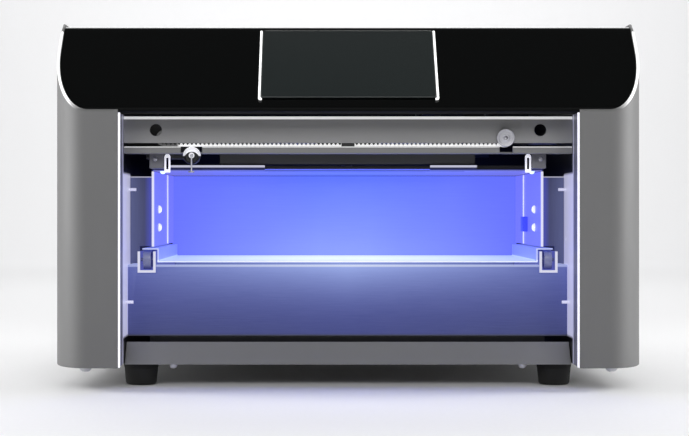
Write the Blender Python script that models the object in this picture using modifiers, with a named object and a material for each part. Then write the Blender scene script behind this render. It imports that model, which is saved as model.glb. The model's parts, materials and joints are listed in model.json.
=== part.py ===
"""Bench-top resin wash station, modelled as the separate pieces that it comes apart into.

Frame: +X is the viewer's right, -Y is the front and +Z is up. The origin is the middle of the
footprint, on the bench. Every length is in metres.
"""
import math

import bmesh
import bpy
from mathutils import Matrix

# Driving dimensions
WIDTH = 0.400
DEPTH = 0.320
HEIGHT = 0.252
GAP = 0.0003
FRONT = -DEPTH / 2
REAR = DEPTH / 2
HALF_WIDTH = WIDTH / 2

# Casing
FOOT_HEIGHT = 0.0147
CASE_BOTTOM = 0.0155
PAN_SHEET = 0.0016
PAN_TOP = FOOT_HEIGHT + PAN_SHEET + GAP
PANEL_WALL = 0.0020
PANEL_INNER_X = 0.1565
CORNER_START_X = 0.1740
CORNER_DEPTH = 0.0450
SLOPE_FOOT_Z = 0.1870
WALL_X = 0.1544
WALL_THICKNESS = 0.0014
BAY_HALF = WALL_X - 0.0004
HOOD_SKIN = 0.0024
HOOD_TOP = 0.2495
HOOD_SETBACK = 0.0024
SCREEN_HALF = 0.0590
SCREEN_LENGTH = 0.0700
SCREEN_START = 0.0127
SCREEN_PROUD = (GAP, 0.0016)

# Belt drive
BELT_AXIS_Z = 0.1706
BELT_INNER_R = 0.0046
BELT_THICKNESS = 0.0010
DRIVE_X = -0.1265
IDLER_X = 0.1080
TENSION_X = -0.1076
TENSION_R = 0.0060
TENSION_Z = BELT_AXIS_Z - BELT_INNER_R - BELT_THICKNESS - GAP - TENSION_R
BELT_FRONT = 0.0407
BELT_REAR = 0.0463
BEAM_FACE = 0.0380
ROD_Z = 0.1720
ROD_RADIUS = 0.0030
ROD_DEPTHS = (0.092, 0.124)
NOZZLE_DEPTH = 0.108

# Chamber, tray and tank
PLATE_X = 0.1355
CEILING_Z = 0.1485
CHAMBER_FRONT = 0.0640
CHAMBER_BACK = 0.2363
ROLLER_X = 0.1405
ROLLER_Z = 0.0864
ROLLER_R = 0.0068
ROLLER_DEPTHS = {"front": 0.069, "rear": 0.122}
RAIL_HALF = 0.0063
RAIL_BOTTOM = 0.0774
RAIL_TOP = 0.0922
RAIL_WALL = 0.0017
TRAY_Z = 0.0851
RUNNER_Z = 0.0940
TANK_FRONT = 0.0630
TANK_BACK = 0.2380
TANK_BOTTOM = 0.0330
TANK_RIM = 0.0830
TANK_WALL = 0.0012
STIRRER_DEPTH = 0.150

# Rear services
FAN_CENTRE = (0.090, 0.1480, 0.195)
FAN_HALF = 0.030
SWITCH_CENTRE = (-0.0750, 0.1520, 0.0525)

ARC_STEPS = 10
TURN_STEPS = 24


def at(depth):
    """The Y place that lies this far behind the front plane."""
    return FRONT + depth


# Scene and materials
for old in list(bpy.data.objects):
    bpy.data.objects.remove(old, do_unlink=True)
PARTS = bpy.data.collections.new("resin_wash_station")
CUTTERS = bpy.data.collections.new("cutters")
for group in (PARTS, CUTTERS):
    bpy.context.scene.collection.children.link(group)


def material(name, colour, roughness, metallic=0.0):
    """A Principled material with one colour."""
    made = bpy.data.materials.new(name)
    made.use_nodes = True
    shader = made.node_tree.nodes["Principled BSDF"]
    shader.inputs["Base Color"].default_value = (*colour, 1.0)
    shader.inputs["Roughness"].default_value = roughness
    shader.inputs["Metallic"].default_value = metallic
    return made


CASE_GREY = material("case_grey", (0.14, 0.14, 0.14), 0.45, 0.3)
BEAM_GREY = material("beam_grey", (0.15, 0.15, 0.15), 0.45, 0.4)
HOOD_BLACK = material("hood_black", (0.008, 0.008, 0.009), 0.12)
GLASS_DARK = material("screen_glass", (0.02, 0.023, 0.023), 0.10)
LIGHT_WHITE = material("light_strip", (0.95, 0.95, 1.0), 0.40)
WALL_WHITE = material("wall_white", (0.70, 0.70, 0.78), 0.35, 0.5)
STEEL = material("brushed_steel", (0.45, 0.46, 0.50), 0.30, 1.0)
MIRROR_STEEL = material("mirror_steel", (0.62, 0.64, 0.72), 0.15, 1.0)
LAMP_GREY = material("lamp_grey", (0.045, 0.045, 0.045), 0.50)
BLACK_PLASTIC = material("black_plastic", (0.012, 0.012, 0.013), 0.45)
RUBBER = material("rubber", (0.015, 0.015, 0.015), 0.80)
BELT_WHITE = material("belt_white", (0.80, 0.80, 0.78), 0.55)
TRAY_WHITE = material("tray_white", (0.85, 0.87, 0.92), 0.20)
ROLLER_GREY = material("roller_grey", (0.35, 0.37, 0.45), 0.40)
ALUMINIUM = material("aluminium", (0.60, 0.60, 0.62), 0.35, 1.0)
BOARD_GREEN = material("board_green", (0.02, 0.12, 0.05), 0.50)
LED_WHITE = material("led_board", (0.75, 0.75, 0.85), 0.40)
DIFFUSER = material("diffuser", (0.55, 0.55, 0.95), 0.30)


# Modelling helpers
def add(name, mesh, look, collection=PARTS):
    """A new object in a collection. A look of None is for a cutter."""
    made = bpy.data.objects.new(name, mesh)
    collection.objects.link(made)
    if look is None:
        made.hide_render = True
        made.display_type = "WIRE"
    else:
        mesh.materials.append(look)
    return made


def home(look):
    """The collection for a piece, or for a cutter where there is no look."""
    return CUTTERS if look is None else PARTS


def box(name, x, y, z, look=None):
    """A block between two limits on each axis, with its origin in its middle."""
    mesh = bpy.data.meshes.new(name)
    shape = bmesh.new()
    bmesh.ops.create_cube(shape, size=1.0)
    size = [limits[1] - limits[0] for limits in (x, y, z)]
    bmesh.ops.scale(shape, vec=size, verts=shape.verts)
    shape.to_mesh(mesh)
    shape.free()
    made = add(name, mesh, look, home(look))
    made.location = [sum(limits) / 2 for limits in (x, y, z)]
    return made


TURNS = {
    "X": Matrix.Rotation(math.radians(90), 4, "Y"),
    "Y": Matrix.Rotation(math.radians(-90), 4, "X"),
    "Z": Matrix.Identity(4),
}


def rod(name, axis, centre, radius, length, look=None, steps=TURN_STEPS):
    """A round bar centred on a point, along X, Y or Z."""
    mesh = bpy.data.meshes.new(name)
    shape = bmesh.new()
    bmesh.ops.create_cone(
        shape,
        cap_ends=True,
        segments=steps,
        radius1=radius,
        radius2=radius,
        depth=length,
    )
    shape.to_mesh(mesh)
    shape.free()
    smooth(mesh)
    made = add(name, mesh, look, home(look))
    made.matrix_world = Matrix.Translation(centre) @ TURNS[axis]
    return made


def smooth(mesh):
    """Smooth shading that keeps the edges sharp."""
    mesh.shade_smooth()
    mesh.set_sharp_from_angle(angle=math.radians(35))


def turned(name, profile, axis, centre, look, steps=TURN_STEPS, closed=False):
    """A lathe shape: (radius, height) points that run down the outer side, top to bottom."""
    mesh = bpy.data.meshes.new(name)
    count = len(profile)
    edges = [(i, i + 1) for i in range(count - 1)]
    if closed:
        edges.append((count - 1, 0))
    mesh.from_pydata([(r, 0.0, h) for r, h in profile], edges, [])
    made = add(name, mesh, look, home(look))
    screw = made.modifiers.new("turn", "SCREW")
    screw.steps = steps
    screw.render_steps = steps
    screw.use_merge_vertices = True
    screw.merge_threshold = 0.00005
    screw.use_smooth_shade = True
    made.matrix_world = Matrix.Translation(centre) @ TURNS[axis]
    return made


# Where an outline's own x, y and z point: an outline across X is (y, z), across Y (x, z), across Z (x, y)
FACINGS = {
    "X": Matrix(((0, 0, 1, 0), (1, 0, 0, 0), (0, 1, 0, 0), (0, 0, 0, 1))),
    "Y": Matrix(((1, 0, 0, 0), (0, 0, -1, 0), (0, 1, 0, 0), (0, 0, 0, 1))),
    "Z": Matrix.Identity(4),
}


def plate(name, outline, axis, limits, look=None):
    """A flat outline filled and given its thickness between two limits along an axis."""
    curve = bpy.data.curves.new(name, "CURVE")
    curve.dimensions = "2D"
    curve.fill_mode = "BOTH"
    curve.extrude = (limits[1] - limits[0]) / 2
    spline = curve.splines.new("POLY")
    spline.points.add(len(outline) - 1)
    for point, (u, v) in zip(spline.points, outline):
        point.co = (u, v, 0.0, 1.0)
    spline.use_cyclic_u = True
    drawn = bpy.data.objects.new(name + "_outline", curve)
    bpy.context.scene.collection.objects.link(drawn)
    drawn.matrix_world = FACINGS[axis]
    graph = bpy.context.evaluated_depsgraph_get()
    mesh = bpy.data.meshes.new_from_object(drawn.evaluated_get(graph))
    mesh.name = name
    mesh.materials.clear()
    bpy.data.objects.remove(drawn, do_unlink=True)
    shape = bmesh.new()
    shape.from_mesh(mesh)
    bmesh.ops.remove_doubles(shape, verts=shape.verts, dist=0.000005)
    bmesh.ops.recalc_face_normals(shape, faces=shape.faces)
    shape.to_mesh(mesh)
    shape.free()
    made = add(name, mesh, look, home(look))
    place = [0.0, 0.0, 0.0]
    place["XYZ".index(axis)] = sum(limits) / 2
    made.matrix_world = Matrix.Translation(place) @ FACINGS[axis]
    return made


def sheet(name, path, axis, limits, thickness, look, closed=False):
    """Sheet metal bent along a path of points. It thickens to the left of the path's direction."""
    mesh = bpy.data.meshes.new(name)
    half = (limits[1] - limits[0]) / 2
    count = len(path)
    low = [(u, v, -half) for u, v in path]
    high = [(u, v, half) for u, v in path]
    runs = count if closed else count - 1
    faces = []
    for i in range(runs):
        j = (i + 1) % count
        faces.append((i, j, j + count, i + count))
    mesh.from_pydata(low + high, [], faces)
    made = add(name, mesh, look, home(look))
    place = [0.0, 0.0, 0.0]
    place["XYZ".index(axis)] = sum(limits) / 2
    made.matrix_world = Matrix.Translation(place) @ FACINGS[axis]
    wall = made.modifiers.new("wall", "SOLIDIFY")
    wall.thickness = thickness
    wall.offset = -1.0
    wall.use_even_offset = True
    return made


def combine(target, operation, others):
    """Boolean modifiers, one for each other shape, which becomes a hidden cutter."""
    for other in others:
        step = target.modifiers.new(operation.lower(), "BOOLEAN")
        step.operation = operation
        step.solver = "EXACT"
        step.object = other
    return target


def cut(target, *others):
    """Takes the other shapes away."""
    return combine(target, "DIFFERENCE", others)


def join(target, *others):
    """Adds the other shapes."""
    return combine(target, "UNION", others)


def mirrored(limits, side):
    """The same X limits on the left, side -1, or on the right, side 1."""
    return tuple(sorted(side * value for value in limits))


SIDES = {"left": -1, "right": 1}


# Casing
def corner_points(inset, side):
    """The rounded upright front corner of the casing, from the front face round to the flank."""
    across = HALF_WIDTH - CORNER_START_X - inset
    deep = CORNER_DEPTH - inset
    points = []
    for i in range(ARC_STEPS + 1):
        turn = math.radians(90 * i / ARC_STEPS)
        x = CORNER_START_X + across * math.sin(turn)
        y = FRONT + CORNER_DEPTH - deep * math.cos(turn)
        points.append((side * x, y))
    return points


def side_panel(name, side):
    """A painted cast shell: front, rounded corner, flank, back and floor, open inwards and on top."""
    outer = [(side * PANEL_INNER_X, FRONT)]
    outer += corner_points(0.0, side)
    outer += [(side * HALF_WIDTH, REAR), (side * PANEL_INNER_X, REAR)]
    made = plate(name, outer, "Z", (CASE_BOTTOM, HEIGHT), CASE_GREY)
    inside_x = side * (PANEL_INNER_X - 0.01)
    inner = [(inside_x, FRONT + PANEL_WALL)]
    inner += corner_points(PANEL_WALL, side)
    inner += [
        (side * (HALF_WIDTH - PANEL_WALL), REAR - PANEL_WALL),
        (inside_x, REAR - PANEL_WALL),
    ]
    hollow = plate(name + "_hollow", inner, "Z", (CASE_BOTTOM + PANEL_WALL, HEIGHT + 0.01))
    over = 0.010
    wedge = [
        (FRONT - over, SLOPE_FOOT_Z - over),
        (FRONT + HEIGHT - SLOPE_FOOT_Z + over, HEIGHT + over),
        (FRONT - over, HEIGHT + over),
    ]
    slope = plate(
        name + "_slope", wedge, "X", mirrored((PANEL_INNER_X - over, HALF_WIDTH + over), side)
    )
    return cut(made, hollow, slope)


def console_hood():
    """The black console: a lip over the beam, the 45 degree face, and the flat top."""
    setback = FRONT + HOOD_SETBACK
    rear = REAR - HOOD_SETBACK
    path = [
        (at(0.0375), SLOPE_FOOT_Z),
        (setback, SLOPE_FOOT_Z),
        (setback + HOOD_TOP - SLOPE_FOOT_Z, HOOD_TOP),
        (rear, HOOD_TOP),
    ]
    path.reverse()
    made = sheet("console_hood", path, "X", (-HALF_WIDTH, HALF_WIDTH), HOOD_SKIN, HOOD_BLACK)
    inset = PANEL_WALL + GAP
    outline = corner_points(inset, 1)
    outline += [(HALF_WIDTH - inset, rear), (-HALF_WIDTH + inset, rear)]
    outline += reversed(corner_points(inset, -1))
    trim = plate("hood_trim", outline, "Z", (SLOPE_FOOT_Z - 0.01, HEIGHT + 0.01))
    return combine(made, "INTERSECT", [trim])


def inner_wall(name, side):
    """The bright side wall of the working bay, with its studs and pivot hole."""
    edge = SLOPE_FOOT_Z - 0.0004
    ridge = HOOD_TOP - HOOD_SKIN - 0.0005
    offset = HOOD_SETBACK + HOOD_SKIN * math.sqrt(2) + 0.0007
    step = 0.0390
    outline = [
        (at(0.0020), CASE_BOTTOM),
        (REAR - 0.004, CASE_BOTTOM),
        (REAR - 0.004, ridge),
        (at(ridge - SLOPE_FOOT_Z + offset), ridge),
        (at(step), SLOPE_FOOT_Z + step - offset),
        (at(step), edge),
        (at(0.0020), edge),
    ]
    made = plate(name, outline, "X", mirrored((WALL_X, WALL_X + WALL_THICKNESS), side), WALL_WHITE)
    for number, (depth, z) in enumerate(((0.058, 0.0570), (0.078, 0.1357))):
        stud = rod(
            f"{name}_stud_{number}",
            "X",
            (side * (WALL_X - 0.0021), at(depth), z),
            0.00115,
            0.0058,
            steps=10,
        )
        join(made, stud)
    pivot = rod(name + "_pivot", "X", (side * WALL_X, at(0.010), 0.0314), 0.00175, 0.01, steps=12)
    cut(made, pivot)
    if side > 0:
        cut(made, rod(name + "_port", "X", (WALL_X, at(0.075), 0.1007), 0.0015, 0.01, steps=12))
    return made


def base_pan():
    """The floor pan with its slanted front lip, its rear upstand and two ribs under the tank."""
    path = [
        (at(0.0550), 0.0297),
        (at(0.0420), FOOT_HEIGHT),
        (REAR - 0.004, FOOT_HEIGHT),
        (REAR - 0.004, 0.0300),
    ]
    made = sheet("base_pan", path, "X", (-BAY_HALF, BAY_HALF), PAN_SHEET, CASE_GREY)
    for number, depth in enumerate((0.080, 0.210)):
        rib = box(
            f"pan_rib_{number}",
            (-0.140, 0.140),
            (at(depth), at(depth + 0.012)),
            (FOOT_HEIGHT + 0.0005, TANK_BOTTOM - GAP),
        )
        join(made, rib)
    return made


def rear_cover():
    """The back plate, with slots behind the fan and a window for the power inlet."""
    outline = [
        (-0.1560, 0.0160),
        (0.1560, 0.0160),
        (0.1560, HOOD_TOP - HOOD_SKIN - 0.0005),
        (-0.1560, HOOD_TOP - HOOD_SKIN - 0.0005),
    ]
    made = plate("rear_cover", outline, "Y", (0.1565, 0.1580), CASE_GREY)
    slots = 7
    pitch = 0.0075
    for i in range(slots):
        z = FAN_CENTRE[2] + (i - (slots - 1) / 2) * pitch
        slot = box(
            f"vent_{i}",
            (FAN_CENTRE[0] - 0.024, FAN_CENTRE[0] + 0.024),
            (0.150, 0.165),
            (z - 0.0018, z + 0.0018),
        )
        cut(made, slot)
    window = box("inlet_window", (-0.1225, -0.0675), (0.150, 0.165), (0.0375, 0.0675))
    return cut(made, window)


def foot(name, x, y):
    """A tapered rubber foot."""
    profile = [(0.0, FOOT_HEIGHT - GAP), (0.01225, FOOT_HEIGHT - GAP)]
    profile += [(0.0112, 0.0010), (0.0105, 0.0), (0.0, 0.0)]
    return turned(name, profile, "Z", (x, y, 0.0), RUBBER)


# Console
def on_slope(along, proud):
    """A place on the console's face: along the slope from its foot, and proud of the black skin."""
    diagonal = math.sqrt(0.5)
    y = FRONT + HOOD_SETBACK + (along - proud) * diagonal
    z = SLOPE_FOOT_Z + (along + proud) * diagonal
    return y, z


def on_console(name, x, along, proud, look=None):
    """A block that lies on the console's face, given by its limits across, along and out of it."""
    made = box(name, x, along, proud, look)
    y, z = on_slope(sum(along) / 2, sum(proud) / 2)
    made.location = (sum(x) / 2, y, z)
    made.rotation_euler = (math.radians(45), 0.0, 0.0)
    return made


def screen_light(name, side):
    """A slim light bar along one edge of the screen, with a short hooked foot."""
    x = mirrored((SCREEN_HALF + GAP, SCREEN_HALF + 0.0019), side)
    along = (SCREEN_START - 0.0022, SCREEN_START + SCREEN_LENGTH)
    made = on_console(name, x, along, SCREEN_PROUD, LIGHT_WHITE)
    hook = on_console(
        name + "_hook",
        mirrored((SCREEN_HALF - 0.0008, SCREEN_HALF + 0.0010), side),
        (SCREEN_START - 0.0022, SCREEN_START - 0.0004),
        SCREEN_PROUD,
    )
    return join(made, hook)


# Belt drive
def top_beam():
    """The folded beam over the bay, with two access holes and the idler's shaft hole."""
    path = [(at(0.0520), 0.1854), (at(BEAM_FACE), 0.1854), (at(BEAM_FACE), 0.1672)]
    made = sheet("top_beam", path, "X", (-BAY_HALF, BAY_HALF), 0.0015, BEAM_GREY)
    for side in SIDES.values():
        hole = rod(f"access_{side}", "Y", (side * 0.1320, at(BEAM_FACE), 0.1761), 0.0042, 0.01)
        cut(made, hole)
    shaft = rod("idler_hole", "Y", (IDLER_X, at(BEAM_FACE), BELT_AXIS_Z), 0.0024, 0.01)
    return cut(made, shaft)


def belt_guide():
    """The angle strip under the belt, cut away at the tension roller and at the idler."""
    path = [(at(BEAM_FACE), 0.1648), (at(BEAM_FACE), 0.1599), (at(0.0500), 0.1599)]
    made = sheet("belt_guide", path, "X", (-BAY_HALF, BAY_HALF), 0.0013, BEAM_GREY)
    roller_gap = box("roller_gap", (-0.1149, -0.1003), (at(0.030), at(0.0472)), (0.150, 0.170))
    idler_gap = box("idler_gap", (0.1042, 0.1131), (at(0.030), at(0.0440)), (0.150, 0.170))
    return cut(made, roller_gap, idler_gap)


def drive_belt():
    """The closed belt round both pulleys, as a plain band."""
    radius = BELT_INNER_R + BELT_THICKNESS
    path = []
    for centre_x, start in ((DRIVE_X, 90), (IDLER_X, -90)):
        for i in range(ARC_STEPS + 1):
            turn = math.radians(start + 180 * i / ARC_STEPS)
            x = centre_x + radius * math.cos(turn)
            path.append((x, BELT_AXIS_Z + radius * math.sin(turn)))
    limits = (at(BELT_FRONT), at(BELT_REAR))
    return sheet("drive_belt", path, "Y", limits, BELT_THICKNESS, BELT_WHITE, closed=True)


def pulleys():
    """The motor's pulley behind the beam, and the idler with its disc in front of the beam."""
    grip = BELT_INNER_R - GAP
    middle = at((BELT_FRONT + BELT_REAR) / 2)
    half = (BELT_REAR - BELT_FRONT) / 2
    drive = [
        (0.0, 0.0102),
        (0.0030, 0.0102),
        (0.0030, half + 0.0010),
        (0.0062, half + 0.0010),
        (0.0062, half + 0.0003),
        (grip, half + 0.0003),
        (grip, -half),
        (0.0, -half),
    ]
    turned("drive_pulley", drive, "Y", (DRIVE_X, middle, BELT_AXIS_Z), ALUMINIUM)
    idler = [
        (0.0, half + 0.0010),
        (0.0062, half + 0.0010),
        (0.0062, half + 0.0003),
        (grip, half + 0.0003),
        (grip, -half),
        (0.0020, -half),
        (0.0020, -0.0080),
        (0.0058, -0.0080),
        (0.0061, -0.0083),
        (0.0061, -0.0098),
        (0.0058, -0.0102),
        (0.0022, -0.0102),
        (0.0018, -0.0094),
        (0.0, -0.0094),
    ]
    turned("idler_pulley", idler, "Y", (IDLER_X, middle, BELT_AXIS_Z), ALUMINIUM)


def tensioner():
    """The roller that lifts the belt's lower run, and the stem and pin that carry it."""
    middle = at(0.0430)
    ring = [
        (0.0048, 0.0030),
        (TENSION_R, 0.0030),
        (TENSION_R, -0.0030),
        (0.0048, -0.0030),
        (0.0046, -0.0010),
        (0.0020, -0.0010),
        (0.0020, -0.0030),
        (0.0012, -0.0030),
        (0.0012, 0.0030),
    ]
    centre = (TENSION_X, middle, TENSION_Z)
    turned("tension_roller", ring, "Y", centre, ALUMINIUM, closed=True)
    pin = rod("tension_stem", "Y", (TENSION_X, at(0.0455), TENSION_Z), 0.0009, 0.0130, ALUMINIUM, 12)
    stem = rod("stem_rod", "Z", (TENSION_X, at(0.0393), 0.1533), 0.0006, 0.0112, steps=10)
    pad = rod("stem_pad", "Z", (TENSION_X, at(0.0393), 0.1474), 0.0022, 0.0010, steps=16)
    join(pin, stem, pad)


def belt_motor():
    """A small square stepper motor, and the bracket that ties it to the left wall."""
    half = 0.0140
    made = box(
        "belt_motor",
        (DRIVE_X - half, DRIVE_X + half),
        (at(0.0540), at(0.0860)),
        (BELT_AXIS_Z - half, BELT_AXIS_Z + half),
        BLACK_PLASTIC,
    )
    outline = [
        (-BAY_HALF, 0.1625),
        (-0.1120, 0.1625),
        (-0.1120, 0.1545),
        (-0.1030, 0.1545),
        (-0.1030, 0.1835),
        (-BAY_HALF, 0.1835),
    ]
    bracket = plate("motor_bracket", outline, "Y", (at(0.0523), at(0.0537)), BLACK_PLASTIC)
    cut(bracket, rod("shaft_hole", "Y", (DRIVE_X, at(0.053), BELT_AXIS_Z), 0.0036, 0.01))
    return made


def carriage():
    """The sliding block with its arm, the belt clamp, the spray nozzle and the two guide rods."""
    block = box(
        "spray_carriage",
        (-0.0220, 0.0220),
        (at(0.0840), at(0.1320)),
        (0.1655, 0.1785),
        BLACK_PLASTIC,
    )
    arm = box("carriage_arm", (-0.0040, 0.0040), (at(0.0505), at(0.0850)), (0.1655, 0.1692))
    join(block, arm)
    for depth in ROD_DEPTHS:
        bore = rod(f"bore_{depth}", "X", (0.0, at(depth), ROD_Z), ROD_RADIUS + GAP, 0.06)
        cut(block, bore)
    outline = [
        (at(0.0398), 0.1617),
        (at(0.0466), 0.1617),
        (at(0.0466), 0.1647),
        (at(0.0404), 0.1647),
        (at(0.0404), 0.1663),
        (at(0.0502), 0.1663),
        (at(0.0502), 0.1692),
        (at(0.0398), 0.1692),
    ]
    plate("belt_clamp", outline, "X", (-0.0045, 0.0045), BLACK_PLASTIC)
    profile = [
        (0.0, 0.0),
        (0.0090, 0.0),
        (0.0090, -0.0030),
        (0.0040, -0.0050),
        (0.0040, -0.0130),
        (0.0022, -0.0160),
        (0.0, -0.0160),
    ]
    turned("spray_nozzle", profile, "Z", (0.0, at(NOZZLE_DEPTH), 0.1655 - GAP), STEEL)
    for name, depth in zip(("front", "rear"), ROD_DEPTHS):
        centre = (0.0, at(depth), ROD_Z)
        rod(f"guide_rod_{name}", "X", centre, ROD_RADIUS, 2 * BAY_HALF, ALUMINIUM)


# Chamber
def ceiling_panel():
    """The chamber's roof sheet, with its front flange, lamp window and nozzle slot."""
    made = box(
        "ceiling_panel",
        (-PLATE_X - 0.0017, PLATE_X + 0.0017),
        (at(CHAMBER_FRONT), at(CHAMBER_BACK)),
        (CEILING_Z, CEILING_Z + TANK_WALL),
        STEEL,
    )
    flange = box("roof_flange", (-0.1245, 0.1245), (at(0.0660), at(0.0672)), (0.1490, 0.1526))
    mouth = box("roof_mouth", (-0.0580, 0.0580), (at(0.060), at(0.0710)), (0.140, 0.160))
    window = box("lamp_window", (-0.0840, 0.0840), (at(0.0730), at(0.0950)), (0.140, 0.160))
    slot = box("nozzle_slot", (-0.0570, 0.0570), (at(0.1020), at(0.1140)), (0.140, 0.160))
    join(made, flange)
    return cut(made, mouth, window, slot)


def lamp():
    """The lamp housing over the roof window, its board, and the diffuser under it."""
    housing = box(
        "lamp_housing", (-0.0900, 0.0900), (at(0.0700), at(0.0980)), (0.1534, 0.1607), LAMP_GREY
    )
    inside = box("lamp_inside", (-0.0888, 0.0888), (at(0.0712), at(0.0968)), (0.150, 0.1595))
    cut(housing, inside)
    box("led_board", (-0.0860, 0.0860), (at(0.0725), at(0.0955)), (0.1578, 0.1590), LED_WHITE)
    box("lamp_diffuser", (-0.0865, 0.0865), (at(0.0715), at(0.0965)), (0.1500, 0.1520), DIFFUSER)


def chamber_side(name, side):
    """One polished side plate of the chamber."""
    return box(
        name,
        mirrored((PLATE_X, PLATE_X + 0.0017), side),
        (at(CHAMBER_FRONT), at(CHAMBER_BACK - GAP)),
        (0.0955, CEILING_Z - GAP),
        MIRROR_STEEL,
    )


def filler(name, side):
    """The set-back plate between the chamber and the bay wall, with its folded top edge."""
    inner = side * (PLATE_X + 0.0021)
    outer = side * (BAY_HALF - 0.0001)
    leg = side * 0.1472
    outline = [
        (inner, 0.0955),
        (leg, 0.0955),
        (leg, TANK_RIM + 0.0004),
        (outer, TANK_RIM + 0.0004),
        (outer, 0.1450),
        (inner, 0.1450),
    ]
    made = plate(name, outline, "Y", (at(0.0820), at(0.0832)), STEEL)
    fold = box(
        name + "_fold", tuple(sorted((inner, outer))), (at(0.0825), at(0.0950)), (0.1438, 0.1450)
    )
    return join(made, fold)


def hanger(name, side):
    """The angle bracket that hangs the chamber roof behind the belt guide."""
    path = [(at(0.0780), 0.1500), (at(0.0504), 0.1500), (at(0.0504), 0.1645)]
    path.reverse()
    return sheet(name, path, "X", mirrored((0.1277, 0.1375), side), 0.0014, LAMP_GREY)


def slotted_strip(name, side):
    """A narrow upright strip with a long slot and a rounded top."""
    centre = 0.1253
    half = 0.0021
    top = 0.1580
    outline = [(side * (centre - half), 0.1472)]
    for i in range(7):
        turn = math.radians(180 - 30 * i)
        outline.append((side * (centre + half * math.cos(turn)), top + half * math.sin(turn)))
    outline.append((side * (centre + half), 0.1472))
    made = plate(name, outline, "Y", (at(0.0523), at(0.0537)), WALL_WHITE)
    slot = box(
        name + "_slot",
        mirrored((centre - 0.0008, centre + 0.0008), side),
        (at(0.050), at(0.056)),
        (0.1495, 0.1575),
    )
    return cut(made, slot)


# Tray and its rollers
def tray():
    """The removable tray: a flat floor, raised sides and a runner along each side."""
    floor_x = 0.1330
    runner_x = 0.1435
    top = RUNNER_Z + 0.0005
    bottom = TRAY_Z - 0.0005
    path = [
        (runner_x, top - 0.0010),
        (floor_x, top - 0.0010),
        (floor_x, bottom),
        (-floor_x, bottom),
        (-floor_x, top - 0.0010),
        (-runner_x, top - 0.0010),
    ]
    path.reverse()
    made = sheet("tray", path, "Y", (at(0.0612), at(0.2300)), 0.0010, TRAY_WHITE)
    slots = 6
    pitch = 0.040
    for i in range(slots):
        x = (i - (slots - 1) / 2) * pitch
        slot = box(f"drain_{i}", (x - 0.014, x + 0.014), (at(0.208), at(0.213)), (0.080, 0.090))
        cut(made, slot)
    return made


def tray_rail(name, side):
    """The channel that holds two rollers on one side."""
    inner = side * (ROLLER_X - RAIL_HALF)
    outer = side * (ROLLER_X + RAIL_HALF)
    path = [(inner, RAIL_TOP), (inner, RAIL_BOTTOM), (outer, RAIL_BOTTOM), (outer, RAIL_TOP)]
    if side < 0:
        path.reverse()
    made = sheet(name, path, "Y", (at(0.0610), at(0.2382)), RAIL_WALL, STEEL)
    for depth in ROLLER_DEPTHS.values():
        centre = (side * ROLLER_X, at(depth), ROLLER_Z)
        cut(made, rod(f"{name}_hole_{depth}", "X", centre, 0.0015, 0.02, steps=16))
    return made


def tray_roller(name, side, depth):
    """A moulded roller with its spindle in one piece."""
    half = 0.0028
    spindle = 0.0060
    profile = [
        (0.0, spindle),
        (0.0012, spindle),
        (0.0012, half),
        (ROLLER_R - 0.0004, half),
        (ROLLER_R, half - 0.0004),
        (ROLLER_R, 0.0004 - half),
        (ROLLER_R - 0.0004, -half),
        (0.0012, -half),
        (0.0012, -spindle),
        (0.0, -spindle),
    ]
    return turned(name, profile, "X", (side * ROLLER_X, at(depth), ROLLER_Z), ROLLER_GREY)


# Tank
def wash_tank():
    """The open stainless tank, with a folded front rim and notches for the tray rails."""
    limit = BAY_HALF - 0.0002
    made = box(
        "wash_tank", (-limit, limit), (at(TANK_FRONT), at(TANK_BACK)), (TANK_BOTTOM, TANK_RIM), STEEL
    )
    rim = box(
        "tank_rim",
        (-limit, limit),
        (at(TANK_FRONT - 0.0014), at(TANK_FRONT + 0.0005)),
        (TANK_RIM - 0.0015, TANK_RIM),
    )
    inside = box(
        "tank_inside",
        (-limit + TANK_WALL, limit - TANK_WALL),
        (at(TANK_FRONT) + TANK_WALL, at(TANK_BACK) - TANK_WALL),
        (TANK_BOTTOM + TANK_WALL, TANK_RIM + 0.01),
    )
    join(made, rim)
    cut(made, inside)
    for word, side in SIDES.items():
        notch = box(
            f"rail_notch_{word}",
            mirrored((ROLLER_X - RAIL_HALF - GAP, ROLLER_X + RAIL_HALF + GAP), side),
            (at(0.050), at(0.250)),
            (RAIL_BOTTOM - GAP, TANK_RIM + 0.01),
        )
        cut(made, notch)
    return made


def stirrer():
    """The magnetically driven impeller on the tank floor, and its motor under the tank."""
    centre = (0.0, at(STIRRER_DEPTH), TANK_BOTTOM + TANK_WALL + 0.0004)
    profile = [(0.0, 0.0120), (0.0060, 0.0120), (0.0070, 0.0020), (0.0260, 0.0020)]
    profile += [(0.0260, 0.0), (0.0, 0.0)]
    impeller = turned("stirrer_impeller", profile, "Z", centre, TRAY_WHITE, 30)
    for i in range(3):
        blade = box(
            f"blade_{i}",
            (-0.0240, 0.0240),
            (centre[1] - 0.0009, centre[1] + 0.0009),
            (centre[2] + 0.0010, centre[2] + 0.0090),
        )
        blade.rotation_euler = (0.0, 0.0, math.radians(60 * i + 15))
        join(impeller, blade)
    high = TANK_BOTTOM - GAP
    motor = [(0.0, high), (0.0240, high), (0.0260, high - 0.002), (0.0260, PAN_TOP), (0.0, PAN_TOP)]
    turned("stirrer_motor", motor, "Z", (0.0, at(STIRRER_DEPTH), 0.0), BLACK_PLASTIC)


# Services at the back
def spray_pump():
    """The pump that feeds the nozzle, on its foot."""
    profile = [
        (0.0, 0.0300),
        (0.0160, 0.0300),
        (0.0160, 0.0220),
        (0.0220, 0.0220),
        (0.0220, -0.0220),
        (0.0190, -0.0300),
        (0.0, -0.0300),
    ]
    made = turned("spray_pump", profile, "X", (0.035, at(0.272), 0.046), BLACK_PLASTIC)
    block = box("pump_foot", (0.018, 0.052), (at(0.258), at(0.286)), (PAN_TOP, 0.035))
    return join(made, block)


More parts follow.
